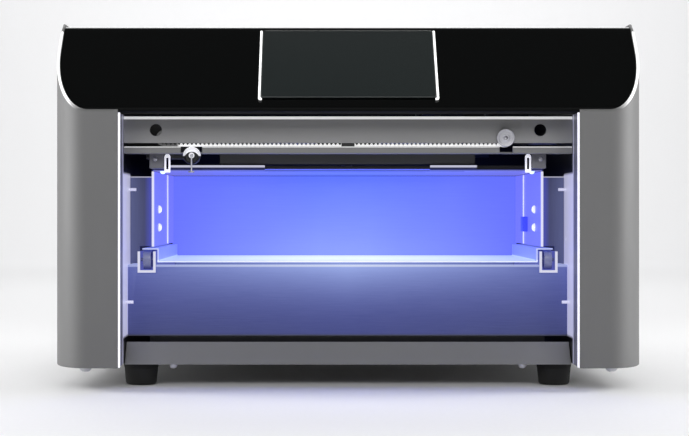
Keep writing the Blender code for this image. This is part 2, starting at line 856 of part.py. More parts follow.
def cooling_fan():
    """The square fan frame with its spider, and the rotor."""
    x, y, z = FAN_CENTRE
    frame = box(
        "fan_frame", (x - FAN_HALF, x + FAN_HALF), (0.1405, 0.1560), (z - FAN_HALF, z + FAN_HALF), LAMP_GREY
    )
    cut(frame, rod("fan_bore", "Y", (x, y, z), 0.0280, 0.04, steps=32))
    join(frame, box("spider_a", (x - 0.029, x + 0.029), (0.1543, 0.1558), (z - 0.0015, z + 0.0015)))
    join(frame, box("spider_b", (x - 0.0014, x + 0.0014), (0.1544, 0.1557), (z - 0.029, z + 0.029)))
    hub = [(0.0, 0.0055), (0.0110, 0.0055), (0.0110, -0.0045), (0.0100, -0.0055), (0.0, -0.0055)]
    rotor = turned("fan_rotor", hub, "Y", FAN_CENTRE, BLACK_PLASTIC)
    blades = 5
    for i in range(blades):
        blade = box(f"fan_blade_{i}", (0.0, 0.0190), (-0.0045, 0.0045), (-0.0006, 0.0006))
        blade.location = (0.0, 0.0, 0.0)
        pitch = Matrix.Rotation(math.radians(35), 4, "X")
        reach = Matrix.Translation((0.0170, 0.0, 0.0))
        spin = Matrix.Rotation(math.radians(360 * i / blades), 4, "Y")
        blade.matrix_world = Matrix.Translation(FAN_CENTRE) @ spin @ reach @ pitch
        join(rotor, blade)


def power_entry():
    """The power inlet with its pin recess and switch well, and the rocker in that well."""
    x, _, z = SWITCH_CENTRE
    made = box("power_inlet", (-0.1220, -0.0680), (0.1350, 0.1590), (0.0380, 0.0670), BLACK_PLASTIC)
    join(made, box("inlet_flange", (-0.1255, -0.0645), (0.1583, 0.1597), (0.0345, 0.0705)))
    cut(made, box("pin_recess", (-0.1180, -0.0900), (0.1440, 0.1700), (0.0430, 0.0620)))
    cut(made, box("switch_well", (x - 0.0062, x + 0.0062), (0.1440, 0.1700), (z - 0.0112, z + 0.0112)))
    profile = [
        (0.0046, 0.0085),
        (0.0066, 0.0100),
        (0.0052, 0.0),
        (0.0066, -0.0100),
        (0.0046, -0.0085),
        (-0.0040, -0.0030),
        (-0.0040, 0.0030),
    ]
    tilt = math.radians(5)
    outline = []
    for out, up in profile:
        outline.append(
            (
                out * math.cos(tilt) - up * math.sin(tilt),
                out * math.sin(tilt) + up * math.cos(tilt),
            )
        )
    rocker = plate("power_switch", outline, "X", (x - 0.0056, x + 0.0056), BLACK_PLASTIC)
    rocker.matrix_world = Matrix.Translation(SWITCH_CENTRE) @ FACINGS["X"]


def electronics():
    """The control board under the console's top, and the power supply on the pan."""
    board = box("control_board", (-0.070, 0.070), (at(0.105), at(0.195)), (0.2400, 0.2416), BOARD_GREEN)
    join(board, box("board_chips", (-0.040, 0.015), (at(0.120), at(0.165)), (0.2345, 0.2405)))
    join(board, box("board_plugs", (0.030, 0.062), (at(0.170), at(0.190)), (0.2310, 0.2405)))
    box("power_supply", (-0.145, -0.055), (at(0.246), at(0.290)), (PAN_TOP, 0.0550), ALUMINIUM)


# Assembly
base_pan()
console_hood()
rear_cover()
for word, side in SIDES.items():
    side_panel(f"{word}_side_panel", side)
    inner_wall(f"{word}_inner_wall", side)
    screen_light(f"screen_light_{word}", side)
    chamber_side(f"chamber_side_{word}", side)
    filler(f"filler_plate_{word}", side)
    hanger(f"roof_hanger_{word}", side)
    slotted_strip(f"slotted_strip_{word}", side)
    tray_rail(f"tray_rail_{word}", side)
    for row, depth in ROLLER_DEPTHS.items():
        tray_roller(f"tray_roller_{row}_{word}", side, depth)
    for row, depth in (("front", 0.060), ("rear", 0.275)):
        foot(f"foot_{row}_{word}", side * 0.144, at(depth))
on_console(
    "touchscreen",
    (-SCREEN_HALF, SCREEN_HALF),
    (SCREEN_START, SCREEN_START + SCREEN_LENGTH),
    SCREEN_PROUD,
    GLASS_DARK,
)
top_beam()
belt_guide()
drive_belt()
pulleys()
tensioner()
belt_motor()
carriage()
ceiling_panel()
lamp()
back_plane = (at(CHAMBER_BACK), at(CHAMBER_BACK + TANK_WALL))
chamber_back = box(
    "chamber_back",
    (-PLATE_X - 0.0015, PLATE_X + 0.0015),
    back_plane,
    (RUNNER_Z, CEILING_Z - GAP),
    MIRROR_STEEL,
)
join(chamber_back, box("back_foot", (-0.1338, 0.1338), back_plane, (TANK_RIM + GAP, RUNNER_Z + 0.001)))
box("chamber_sensor", (0.1312, PLATE_X - GAP), (at(0.146), at(0.158)), (0.1052, 0.1164), LAMP_GREY)
tray()
wash_tank()
stirrer()
spray_pump()
cooling_fan()
power_entry()
electronics()
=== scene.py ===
# %% [markdown]
# # A resin wash station
#
# This lesson dresses the frame of a bench-top wash station. The frame already holds every part at
# its real size, and says which body each part moves with. What is added here is what the eye reads:
# rounded castings, a toothed belt, screws, and the grain and sheen of each material.
#
# The first step loads the frame and keeps its box, because nothing made here may stand outside it.

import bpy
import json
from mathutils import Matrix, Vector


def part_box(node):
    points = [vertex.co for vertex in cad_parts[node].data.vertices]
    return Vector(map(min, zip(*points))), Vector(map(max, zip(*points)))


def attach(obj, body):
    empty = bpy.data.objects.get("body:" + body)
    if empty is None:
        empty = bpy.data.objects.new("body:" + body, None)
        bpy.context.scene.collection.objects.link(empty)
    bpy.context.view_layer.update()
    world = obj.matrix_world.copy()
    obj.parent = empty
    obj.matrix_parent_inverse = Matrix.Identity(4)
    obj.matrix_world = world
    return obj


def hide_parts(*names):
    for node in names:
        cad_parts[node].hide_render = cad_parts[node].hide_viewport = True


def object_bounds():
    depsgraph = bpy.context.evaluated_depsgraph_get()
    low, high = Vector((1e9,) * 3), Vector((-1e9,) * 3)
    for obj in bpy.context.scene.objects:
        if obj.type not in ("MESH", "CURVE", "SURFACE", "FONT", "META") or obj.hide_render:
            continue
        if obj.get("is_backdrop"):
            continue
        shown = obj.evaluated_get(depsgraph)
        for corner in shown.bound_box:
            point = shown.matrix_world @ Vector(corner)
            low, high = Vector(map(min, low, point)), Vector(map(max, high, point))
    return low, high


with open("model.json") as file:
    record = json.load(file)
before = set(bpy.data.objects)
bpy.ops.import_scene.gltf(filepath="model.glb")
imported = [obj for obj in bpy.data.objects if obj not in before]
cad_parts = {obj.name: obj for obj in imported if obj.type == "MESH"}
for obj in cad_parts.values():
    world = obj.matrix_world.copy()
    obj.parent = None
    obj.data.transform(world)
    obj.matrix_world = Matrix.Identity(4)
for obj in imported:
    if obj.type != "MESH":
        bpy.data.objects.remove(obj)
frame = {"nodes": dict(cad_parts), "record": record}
cad_low, cad_high = (list(corner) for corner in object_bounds())

import json
import math

import bmesh
import bpy
import numpy as np
from mathutils import Vector

nodes = frame["nodes"]
body_of = {n: b for b, members in frame["record"]["behaviour"]["bodies"].items() for n in members}
slot_of = {row["node"]: row["material_slot"] for row in frame["record"]["subparts"]}

# %% [markdown]
# ## Camera
#
# The machine is seen from the front, a little left of its middle, through a long lens that keeps its
# uprights upright. The lens is shifted rather than turned, as on a view camera.

# %% Camera
front = cad_low[1]
camera_data = bpy.data.cameras.new("camera")
camera_data.lens = 98.0
camera_data.sensor_width = 36.0
camera_data.shift_x = 0.0327
camera_data.shift_y = -0.0087
camera = bpy.data.objects.new("camera", camera_data)
camera.location = (-0.0179, front - 1.250, 0.1198)
camera.rotation_euler = (math.radians(90), 0.0, 0.0)
bpy.context.scene.collection.objects.link(camera)
bpy.context.scene.camera = camera
print("camera at", tuple(round(v, 3) for v in camera.location))


# %% [markdown]
# ## Surfaces worked out with numpy
#
# Every new piece is a grid of points. A lathe shape, a swept bar and a bent sheet are all the same
# thing: one index runs round the section and the other along the piece. So one function turns any
# such grid into a closed mesh, and each piece only has to say where its points are.

# %% Grid to mesh
def surface(name, points, wrap_rows=False, wrap_columns=True, caps="fan", crease=35.0):
    """A mesh from an array of shape (rows, columns, 3): a quad joins each point to its neighbours.
    wrap_columns closes each row into a ring. caps "fan" fills the two end rings with one face each,
    "ladder" fills them by joining point k to point (last - k), as on a thin folded sheet."""
    points = np.asarray(points, float)
    rows, columns, _ = points.shape
    row = np.arange(rows if wrap_rows else rows - 1)
    column = np.arange(columns if wrap_columns else columns - 1)
    r, c = np.meshgrid(row, column, indexing="ij")
    r_next, c_next = (r + 1) % rows, (c + 1) % columns
    quads = np.stack(
        [r * columns + c, r * columns + c_next, r_next * columns + c_next, r_next * columns + c], -1
    ).reshape(-1, 4)
    faces = quads.tolist()
    if not wrap_rows and wrap_columns:
        for start in (0, (rows - 1) * columns):
            ring = start + np.arange(columns)
            if caps == "fan":
                faces.append(ring.tolist())
            elif caps == "ladder":
                half = columns // 2
                k = np.arange(half - 1)
                ladder = np.stack(
                    [ring[k], ring[k + 1], ring[columns - 2 - k], ring[columns - 1 - k]], -1
                )
                faces.extend(ladder.tolist())
    mesh = bpy.data.meshes.new(name)
    mesh.from_pydata(points.reshape(-1, 3).tolist(), [], faces)
    return finished(name, mesh, crease)


def finished(name, mesh, crease=35.0):
    """Merges doubled points, drops what collapsed, points the faces outwards and shades smooth."""
    work = bmesh.new()
    work.from_mesh(mesh)
    bmesh.ops.remove_doubles(work, verts=work.verts, dist=0.000002)
    bmesh.ops.dissolve_degenerate(work, edges=work.edges, dist=0.000001)
    bmesh.ops.recalc_face_normals(work, faces=work.faces)
    work.to_mesh(mesh)
    work.free()
    mesh.shade_smooth()
    mesh.set_sharp_from_angle(angle=math.radians(crease))
    made = bpy.data.objects.new(name, mesh)
    bpy.context.scene.collection.objects.link(made)
    return made


def together(name, pieces):
    """Joins finished pieces into one object, by stacking their points and faces."""
    points, faces, offset = [], [], 0
    for piece in pieces:
        count = len(piece.data.vertices)
        co = np.zeros(count * 3)
        piece.data.vertices.foreach_get("co", co)
        points.append(co.reshape(-1, 3))
        faces.extend([[offset + v for v in face.vertices] for face in piece.data.polygons])
        offset += count
        bpy.data.objects.remove(piece, do_unlink=True)
    mesh = bpy.data.meshes.new(name)
    mesh.from_pydata(np.concatenate(points).tolist(), [], faces)
    return finished(name, mesh)


# %% [markdown]
# Three families of shape cover most of the machine. A **lathe** turns a profile about an axis. A
# **swept** shape carries a closed section along a path of places. A **slab** stacks copies of one
# outline, each drawn in a little, so that its edges are rounded over.

# %% Lathe, sweep and slab
AXES = {
    "X": np.array([[0, 1, 0], [0, 0, 1], [1, 0, 0]], float),
    "Y": np.array([[0, 0, 1], [1, 0, 0], [0, 1, 0]], float),
    "Z": np.eye(3),
}


def lathe(name, profile, axis, centre, steps=64, shape=None):
    """Turns (radius, height) points about an axis: x = r cos t, y = r sin t, z = height. shape, where
    given, is a function of the angle and the radius that returns the radius to use there."""
    profile = np.asarray(profile, float)
    angle = np.linspace(0, 2 * np.pi, steps, endpoint=False)
    radius = np.repeat(profile[:, :1], steps, axis=1)
    if shape is not None:
        radius = shape(angle[None, :], radius)
    height = np.repeat(profile[:, 1:], steps, axis=1)
    local = np.stack([radius * np.cos(angle), radius * np.sin(angle), height], -1)
    return surface(name, local @ AXES[axis] + np.asarray(centre), caps="none")


def rounded(points, radius, steps=5, closed=False):
    """Rounds the corners of a polyline: each corner becomes a quadratic curve that starts and ends
    one radius away from it, or nearly half an edge away where the edge is short."""
    points = np.asarray(points, float)
    count = len(points)
    out = []
    for i in range(count):
        if not closed and i in (0, count - 1):
            out.append(points[i][None])
            continue
        before, here, after = points[i - 1], points[i], points[(i + 1) % count]
        into, away = before - here, after - here
        reach_in = min(radius, 0.49 * np.linalg.norm(into)) * into / np.linalg.norm(into)
        reach_out = min(radius, 0.49 * np.linalg.norm(away)) * away / np.linalg.norm(away)
        t = np.linspace(0, 1, steps)[:, None]
        out.append(here + reach_in * (1 - t) ** 2 + reach_out * t**2)
    return np.concatenate(out)


def folded(path, thickness):
    """The closed section of a bent sheet: the path, then the path set back by the thickness along its
    own normals (to its left), in reverse, so that point k faces point (last - k)."""
    path = np.asarray(path, float)
    step = np.gradient(path, axis=0)
    step /= np.linalg.norm(step, axis=1)[:, None]
    normal = np.stack([-step[:, 1], step[:, 0]], -1)
    return np.concatenate([path, (path + normal * thickness)[::-1]])


def rectangle(half_u, half_v, radius, steps=6):
    """A rounded rectangle about the origin, drawn anticlockwise."""
    t = np.linspace(0, np.pi / 2, steps)
    corners = []
    for turn, (su, sv) in enumerate(((1, 1), (-1, 1), (-1, -1), (1, -1))):
        angle = t + turn * np.pi / 2
        middle = np.array([su * (half_u - radius), sv * (half_v - radius)])
        corners.append(middle + radius * np.stack([np.cos(angle), np.sin(angle)], -1))
    return np.concatenate(corners)


def slab(name, half_u, half_v, low, high, radius, edge, place):
    """A rounded block. The outline is drawn in by edge * (1 - cos a) as it nears the top and bottom
    by edge * (1 - sin a), a quarter circle. place turns (u, v, h) arrays into points."""
    quarter = np.linspace(0, np.pi / 2, 4)
    levels = [(edge * (1 - np.sin(a)), low + edge * (1 - np.cos(a))) for a in quarter]
    levels += [(edge * (1 - np.cos(a)), high - edge * (1 - np.sin(a))) for a in quarter]
    rings = []
    for drawn_in, level in levels:
        ring = rectangle(half_u - drawn_in, half_v - drawn_in, max(radius - drawn_in, 0.00005))
        rings.append(place(ring[:, 0], ring[:, 1], np.full(len(ring), level)))
    return surface(name, np.stack(rings))


print("shape helpers ready")

# %% [markdown]
# ## A small language for materials
#
# Procedural materials are arithmetic on patterns, so it helps to write them as arithmetic. `Value`
# wraps one socket, and each operator on it adds a Math node. `Finish` holds one material: its `node`
# method makes any node from a type, its settings and its inputs.
#
# Patterns read Object coordinates. Every object here sits at the origin with its place in its mesh,
# so those coordinates are metres on the real machine, and a grain of 0.4 mm is a scale of 2500.

# %% Value and Finish
def srgb(code):
    """A web colour such as 6c6c6c as a linear colour, by the sRGB curve."""
    parts = np.array([int(code[i : i + 2], 16) for i in (0, 2, 4)]) / 255
    linear = np.where(parts <= 0.04045, parts / 12.92, ((parts + 0.055) / 1.055) ** 2.4)
    return (*(float(v) for v in linear), 1.0)


def scaled(colour, share):
    """A colour times a share, still opaque."""
    return tuple(share * c for c in colour[:3]) + (1.0,)


class Value:
    """A number socket with arithmetic: each operator adds one Math node."""

    def __init__(self, finish, socket):
        self.finish = finish
        self.socket = socket

    def math(self, operation, first, second=0.0):
        made = self.finish.node("ShaderNodeMath", {"operation": operation}, {0: first, 1: second})
        return Value(self.finish, made.outputs[0])

    def __add__(self, other):
        return self.math("ADD", self, other)

    def __sub__(self, other):
        return self.math("SUBTRACT", self, other)

    def __rsub__(self, other):
        return self.math("SUBTRACT", other, self)

    def __mul__(self, other):
        return self.math("MULTIPLY", self, other)

    def __truediv__(self, other):
        return self.math("DIVIDE", self, other)

    def __pow__(self, other):
        return self.math("POWER", self, other)

    __radd__ = __add__
    __rmul__ = __mul__

    def clipped(self):
        """The value held between 0 and 1."""
        return self.math("MINIMUM", self.math("MAXIMUM", self, 0.0), 1.0)

    def between(self, low, high):
        """0 at low, 1 at high, straight in between."""
        return ((self - low) / (high - low)).clipped()

    def size(self):
        """The value without its sign."""
        return self.math("ABSOLUTE", self)


class Finish:
    """One procedural material. Constants go straight onto the shader's own sockets."""

    def __init__(self, name, **constants):
        self.material = bpy.data.materials.new(name)
        self.material.use_nodes = True
        self.tree = self.material.node_tree
        self.shader = self.tree.nodes["Principled BSDF"]
        for key, value in constants.items():
            self.shader.inputs[key.replace("_", " ")].default_value = value
        self.place = self.node("ShaderNodeTexCoord").outputs["Object"]
        axes = self.node("ShaderNodeSeparateXYZ", {}, {0: self.place}).outputs
        self.x, self.y, self.z = (Value(self, socket) for socket in axes)

    def node(self, kind, settings=None, inputs=None):
        """Any node: its settings are set first, then its sockets get values or links."""
        made = self.tree.nodes.new(kind)
        for key, value in (settings or {}).items():
            setattr(made, key, value)
        for key, value in (inputs or {}).items():
            value = value.socket if isinstance(value, Value) else value
            if isinstance(value, bpy.types.NodeSocket):
                self.tree.links.new(value, made.inputs[key])
            else:
                made.inputs[key].default_value = value
        return made

    def noise(self, scale, stretch=(1, 1, 1), detail=3.0, roughness=0.55):
        """Soft noise from about 0 to 1, stretched by a Mapping node's scale."""
        mapped = self.node("ShaderNodeMapping", {}, {"Vector": self.place, "Scale": stretch})
        made = self.node(
            "ShaderNodeTexNoise",
            {},
            {
                "Vector": mapped.outputs[0],
                "Scale": scale,
                "Detail": detail,
                "Roughness": roughness,
            },
        )
        return Value(self, made.outputs[0])

    def mix(self, amount, first, second):
        """A colour between two colours."""
        made = self.node(
            "ShaderNodeMix", {"data_type": "RGBA"}, {0: amount, 6: first, 7: second}
        )
        return made.outputs[2]

    def give(self, name, value):
        """Links a changing colour or number to one of the shader's sockets."""
        value = value.socket if isinstance(value, Value) else value
        self.tree.links.new(value, self.shader.inputs[name])
        return self

    def relief(self, height, depth, strength=1.0):
        """A Bump node: height 0 to 1 over a depth in metres."""
        made = self.node(
            "ShaderNodeBump", {}, {"Height": height, "Distance": depth, "Strength": strength}
        )
        return self.give("Normal", made.outputs[0])


FINISHES = {}


def keep(name, finish):
    """Files a finish under a name, and says so."""
    FINISHES[name] = finish.material
    print("finish:", name)


# %% [markdown]
# ## Painted metal
#
# The casings and beams are powder coated. Up close the coat is a fine orange peel. From further away
# it is almost flat, with a slow drift in tone and faint handling marks that change only the gloss.
# Some edges also get a glowing painted highlight, and the rear cover's inner face painted shade.

# %% Painted finishes
def paint(name, code, roughness, metallic, edge=None, highlight_colour="f4f4f4", dark=None):
    """Powder coat: a slow tone drift, patches of gloss, and a 0.5 mm orange peel. edge and dark, where
    given, are functions of the finish: 1 along an edge that gets a glowing painted highlight, and 1 on
    a face that gets near-black painted shade."""
    coat = Finish(name, Metallic=metallic)
    colour = srgb(code)
    darker = scaled(colour, 0.90)
    drift = coat.noise(9.0, detail=4.0)
    speck = coat.noise(3000.0, detail=1.0)
    coated = coat.mix((drift * 0.7 + speck * 0.3).clipped(), darker, colour)
    # Painted highlight: the edge is mixed to a pale colour and made to glow.
    if edge is not None:
        bright = edge(coat) * (0.85 + speck * 0.15)
        coated = coat.mix(bright.clipped(), coated, srgb(highlight_colour))
        coat.give("Emission Color", coat.mix(bright.clipped(), (0, 0, 0, 1), srgb(highlight_colour)))
        coat.shader.inputs["Emission Strength"].default_value = 0.45
    # Painted shade: the face is made nearly black.
    if dark is not None:
        coated = coat.mix(dark(coat), coated, srgb("040405"))
    coat.give("Base Color", coated)
    marks = coat.noise(60.0, stretch=(1, 1, 0.3), detail=5.0)
    coat.give("Roughness", roughness + (marks - 0.5) * 0.16 + (speck - 0.5) * 0.05)
    coat.relief(coat.noise(1900.0, detail=2.0), 0.000012)
    keep(name, coat)


def rim_highlight(coat):
    """The cut rim of the casings, which gets a painted highlight: points within 0.9 mm of the plane
    z = slope foot + depth, in front of where the casings reach their full height."""
    above = coat.z - coat.y - (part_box("console_hood")[0].z - front)
    on_slope = above.between(-0.0012, -0.0007)
    return on_slope * coat.z.between(0.1885, 0.1960)


def bend_highlight(coat):
    """The top fold of the beam and the top edge of the belt guide, a millimetre of each, which get a
    painted highlight.
    """
    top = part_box("top_beam")[1].z
    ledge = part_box("belt_guide")[1].z
    on_ledge = coat.z.between(ledge - 0.0008, ledge - 0.0005) * coat.z.between(
        ledge + 0.0010, ledge + 0.0004
    )
    return coat.z.between(top - 0.0022, top - 0.0016) + on_ledge


def cover_inside_shade(coat):
    """The face of the rear cover turned to the front, painted nearly black as shade inside the
    machine.
    """
    return coat.y.between(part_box("rear_cover")[0].y + 0.0008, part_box("rear_cover")[0].y + 0.0004)


paint("case_grey", "6e6e6e", 0.58, 0.10, edge=rim_highlight)
paint("cover_grey", "6e6e6e", 0.58, 0.10, dark=cover_inside_shade)
paint("base_grey", "8c8c8c", 0.50, 0.15)
paint("guide_grey", "7c7c7c", 0.45, 0.20, edge=bend_highlight, highlight_colour="d8d8d8")
paint("beam_grey", "929292", 0.42, 0.25, edge=bend_highlight, highlight_colour="f4f4f4")
paint("lamp_grey", "363638", 0.55, 0.10)

# %% [markdown]
# ## Black gloss, glass and moulded plastics
#
# The console is gloss black with a very slight unevenness, which is what makes a moulded gloss part
# look real. The screen is a shade lighter, because light scatters under its cover glass. The small
# plastic parts have a fine spark-eroded texture.

# %% Gloss and plastic finishes
def gloss(name, code, roughness, wave, shine=0.35, specular=0.5, dull=None):
    """A smooth coat over a long low wave, with a faint film of dust in the gloss. dull, where given,
    is 1 where the surface is left rough and uncoated."""
    skin = Finish(name, Coat_Roughness=0.04, Specular_IOR_Level=specular)
    matt = dull(skin) if dull else 0.0
    colour = srgb(code)
    lifted = tuple(1.5 * c + 0.0006 for c in colour[:3]) + (1.0,)
    dust = skin.noise(700.0, detail=6.0, roughness=0.7)
    skin.give("Base Color", skin.mix(dust.between(0.45, 0.9), colour, lifted))
    skin.give("Coat Weight", (1.0 - matt) * (shine + dust * 0.02))
    skin.give("Roughness", roughness + dust * 0.05 + matt * 0.8)
    skin.relief(skin.noise(14.0, detail=2.0), wave)
    keep(name, skin)


def moulded(name, code, roughness, grain=0.00002, scale=1400.0):
    """Textured plastic: grain in the surface, and a little of it in the colour."""
    part = Finish(name)
    colour = srgb(code)
    darker = scaled(colour, 0.8)
    pattern = part.noise(scale, detail=3.0, roughness=0.6)
    wear = part.noise(35.0, detail=4.0)
    part.give("Base Color", part.mix((pattern * 0.6 + wear * 0.4).clipped(), darker, colour))
    part.give("Roughness", roughness + (wear - 0.5) * 0.2)
    part.relief(pattern, grain)
    keep(name, part)


def turned_lip(skin):
    """The lowest 3 mm of the console, where its skin turns under."""
    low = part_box("console_hood")[0].z
    return 1.0 - skin.z.between(low + 0.0016, low + 0.0030)


gloss("hood_black", "020303", 0.10, 0.00002, shine=0.12, specular=0.18, dull=turned_lip)
gloss("screen_glass", "1e2424", 0.07, 0.000004)
moulded("black_plastic", "1d1d1e", 0.48)
moulded("rubber", "101010", 0.78, grain=0.00006, scale=900.0)
moulded("roller_grey", "8a8fb4", 0.38, grain=0.000008, scale=2500.0)
moulded("hanger_grey", "707076", 0.45)
moulded("board_green", "1f5a34", 0.45, grain=0.00003, scale=500.0)


# %% [markdown]
# ## Brushed, turned and polished metal
#
# Brushing leaves long scratches in one direction. Noise that is stretched far along X gives them,
# and it goes into the gloss and the relief as well as the colour. Turned parts are scratched in
# rings, which very fine noise stands in for at this size.

# %% Metal finishes
def brushed(name, code, roughness, along=(0.02, 1, 1), depth=0.000004, contrast=0.28, metallic=1.0):
    """Fine scratches along one axis, over slow patches of tone."""
    metal = Finish(name, Metallic=metallic)
    colour = srgb(code)
    darker = scaled(colour, 1 - contrast)
    scratch = metal.noise(2600.0, stretch=along, detail=3.0, roughness=0.7)
    patch = metal.noise(25.0, stretch=(0.4, 1, 1), detail=3.0)
    metal.give("Base Color", metal.mix((scratch * 0.7 + patch * 0.3).clipped(), darker, colour))
    metal.give("Roughness", roughness + (scratch - 0.5) * 0.22 + (patch - 0.5) * 0.08)
    metal.relief(scratch, depth)
    keep(name, metal)


brushed("brushed_steel", "b4b6c2", 0.34)
brushed(
    "aluminium", "c8c8ce", 0.34, along=(1, 1, 1), depth=0.000002, contrast=0.12, metallic=0.55
)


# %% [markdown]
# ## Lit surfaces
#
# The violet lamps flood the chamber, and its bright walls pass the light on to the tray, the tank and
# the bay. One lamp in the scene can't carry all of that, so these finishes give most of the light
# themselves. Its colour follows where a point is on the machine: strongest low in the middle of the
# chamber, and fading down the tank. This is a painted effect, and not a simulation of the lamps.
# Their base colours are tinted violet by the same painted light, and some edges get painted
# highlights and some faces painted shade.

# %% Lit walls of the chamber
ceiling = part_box("ceiling_panel")
chamber_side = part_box("chamber_side_right")
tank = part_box("wash_tank")
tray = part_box("tray")
bay_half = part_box("top_beam")[1].x
chamber_top = ceiling[0].z
chamber_floor = tray[0].z


def lit_wall(name, high_code, low_code, edge_code, strength, direction, rim=None, shade=None):
    """A polished wall full of painted violet light: a colour for its top, one for its foot, and one
    for its sides, mixed by height and by distance from the middle, over a base colour that is steel
    tinted violet by the same painted light. rim is 1 along a cut edge that gets a painted highlight,
    and shade is 1 where no light falls, which gets a near-black base colour as painted shade."""
    wall = Finish(name, Metallic=0.5, Emission_Strength=strength)
    rise = wall.z.between(chamber_floor, chamber_top)
    aside = wall.x.size().between(0.02, 0.150)
    streak = wall.noise(1500.0, stretch=direction, detail=3.0)
    cloud = wall.noise(16.0, detail=2.0)
    tone = wall.mix((rise + (cloud - 0.5) * 0.25).clipped(), srgb(low_code), srgb(high_code))
    glow = wall.mix(aside, tone, srgb(edge_code))
    # No painted light on the faces turned away from the chamber.
    glow = wall.mix(outer_face(wall), glow, srgb("06060c"))
    # Painted highlight along the cut edge, where given.
    if rim is not None:
        glow = wall.mix(rim(wall), glow, srgb("f0f0ff"))
    wall.give("Emission Color", glow)
    # The base colour is steel tinted violet: painted light.
    steel = wall.mix(streak, srgb("262a58"), srgb("40468c"))
    # Painted shade, where given: the base colour goes nearly black.
    if shade is not None:
        steel = wall.mix(shade(wall), steel, srgb("0a0a0c"))
    wall.give("Base Color", steel)
    wall.give("Roughness", 0.34 + streak * 0.16)
    wall.relief(streak, 0.000004)
    keep(name, wall)


def outer_face(wall):
    """The faces turned away from the chamber: outside its side plates and above its roof. There the
    painted light is left nearly black.
    """
    aside = wall.x.size().between(chamber_side[0].x + 0.0006, chamber_side[0].x + 0.0010)
    return (aside + wall.z.between(chamber_top + 0.0006, chamber_top + 0.0010)).clipped()


def side_front(wall):
    """The front edge of the chamber's side plates, one sheet thick, which gets a painted highlight."""
    return 1.0 - wall.y.between(chamber_side[0].y + 0.0006, chamber_side[0].y + 0.0010)


def roof_flange(wall):
    """The roof's front flange, above the sheet, with a painted highlight up to the place on the right
    where painted shade takes over.
    """
    reached = wall.x.between(0.0912, 0.0904)
    return wall.z.between(chamber_top + 0.0022, chamber_top + 0.0030) * reached * 0.85


def shaded_flange(wall):
    """The rest of that flange, which gets a near-black base colour as painted shade."""
    return wall.z.between(chamber_top + 0.0012, chamber_top + 0.0016) * wall.x.between(0.0904, 0.0912)


lit_wall("mirror_steel", "5f78ff", "94a8ff", "6c76ff", 0.84, (0.03, 1, 1))
lit_wall("side_steel", "6c70fa", "8290ff", "7276fc", 0.80, (1, 0.03, 1), rim=side_front)
lit_wall("roof_steel", "5c74f0", "5c74f0", "7674b4", 0.70, (0.03, 1, 1), roof_flange, shaded_flange)


def lit_filler():
    """Set-back plates beside the chamber, glowing with painted light: violet next to it, painted shade
    in the middle, paler by the bay wall, with a painted highlight along the top edge."""
    plate = Finish("filler_steel", Metallic=0.5, Emission_Strength=0.60)
    low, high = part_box("filler_plate_right")
    aside = plate.x.size()
    streak = plate.noise(1500.0, stretch=(1, 1, 0.03), detail=3.0)
    rise = plate.z.between(low.z, high.z)
    shade = plate.mix(aside.between(0.1435, 0.1530), srgb("3e4058"), srgb("5c6288"))
    shade = plate.mix(rise * 0.4, plate.mix(0.25, shade, srgb("5058a8")), shade)
    shade = plate.mix(aside.between(0.1440, 0.1400), shade, srgb("5056c8"))
    # Painted highlight along the top edge.
    top = plate.z.between(high.z - 0.0009, high.z - 0.0005)
    plate.give("Emission Color", plate.mix(top, shade, srgb("dcdcf0")))
    plate.give("Base Color", plate.mix(streak, srgb("2c2e40"), srgb("40445c")))
    plate.give("Roughness", 0.36 + streak * 0.14)
    plate.relief(streak, 0.000004)
    keep("filler_steel", plate)


lit_filler()

# %% [markdown]
# The tank and the tray catch painted light from above. The tank's glow fades downwards and
# outwards. The tray is nearly white in the middle, and its rails get a painted highlight only on
# their cut ends.

# %% Lit tank and tray
def lit_tank():
    """Brushed steel that catches the chamber's spill as painted light: brightest under the middle of
    the rim, which itself gets a painted highlight as a bright line, and painted shade along the bottom
    fold."""
    metal = Finish("tank_steel", Metallic=0.75, Emission_Strength=0.78)
    scratch = metal.noise(2600.0, stretch=(0.02, 1, 1), detail=3.0, roughness=0.7)
    patch = metal.noise(18.0, stretch=(0.5, 1, 1), detail=2.0)
    rise = metal.z.between(tank[0].z, tank[1].z)
    middle = 1.0 - metal.x.size().between(0.0, bay_half)
    spill = (rise ** 2.8) * (0.14 + 0.86 * middle)
    low = metal.mix(middle, srgb("282e60"), srgb("2c3474"))
    tone = metal.mix(((rise * 0.60) + (patch - 0.5) * 0.10).clipped(), low, srgb("5058b4"))
    glow = metal.mix(spill.clipped(), tone, srgb("a4b8f6"))
    # Painted highlight along the rim.
    rim = metal.z.between(tank[1].z - 0.0019, tank[1].z - 0.0013)
    glow = metal.mix(rim, glow, metal.mix(middle, srgb("a4aee0"), srgb("dfe8ff")))
    # Painted shade along the bottom fold.
    fold = metal.z.between(tank[0].z + 0.0016, tank[0].z + 0.0008)
    metal.give("Emission Color", metal.mix(fold, glow, srgb("2c2c30")))
    # Base colour tinted violet: painted light.
    metal.give("Base Color", metal.mix(scratch, srgb("363a56"), srgb("565a78")))
    metal.give("Roughness", 0.34 + (scratch - 0.5) * 0.2)
    metal.relief(scratch, 0.000004)
    keep("tank_steel", metal)


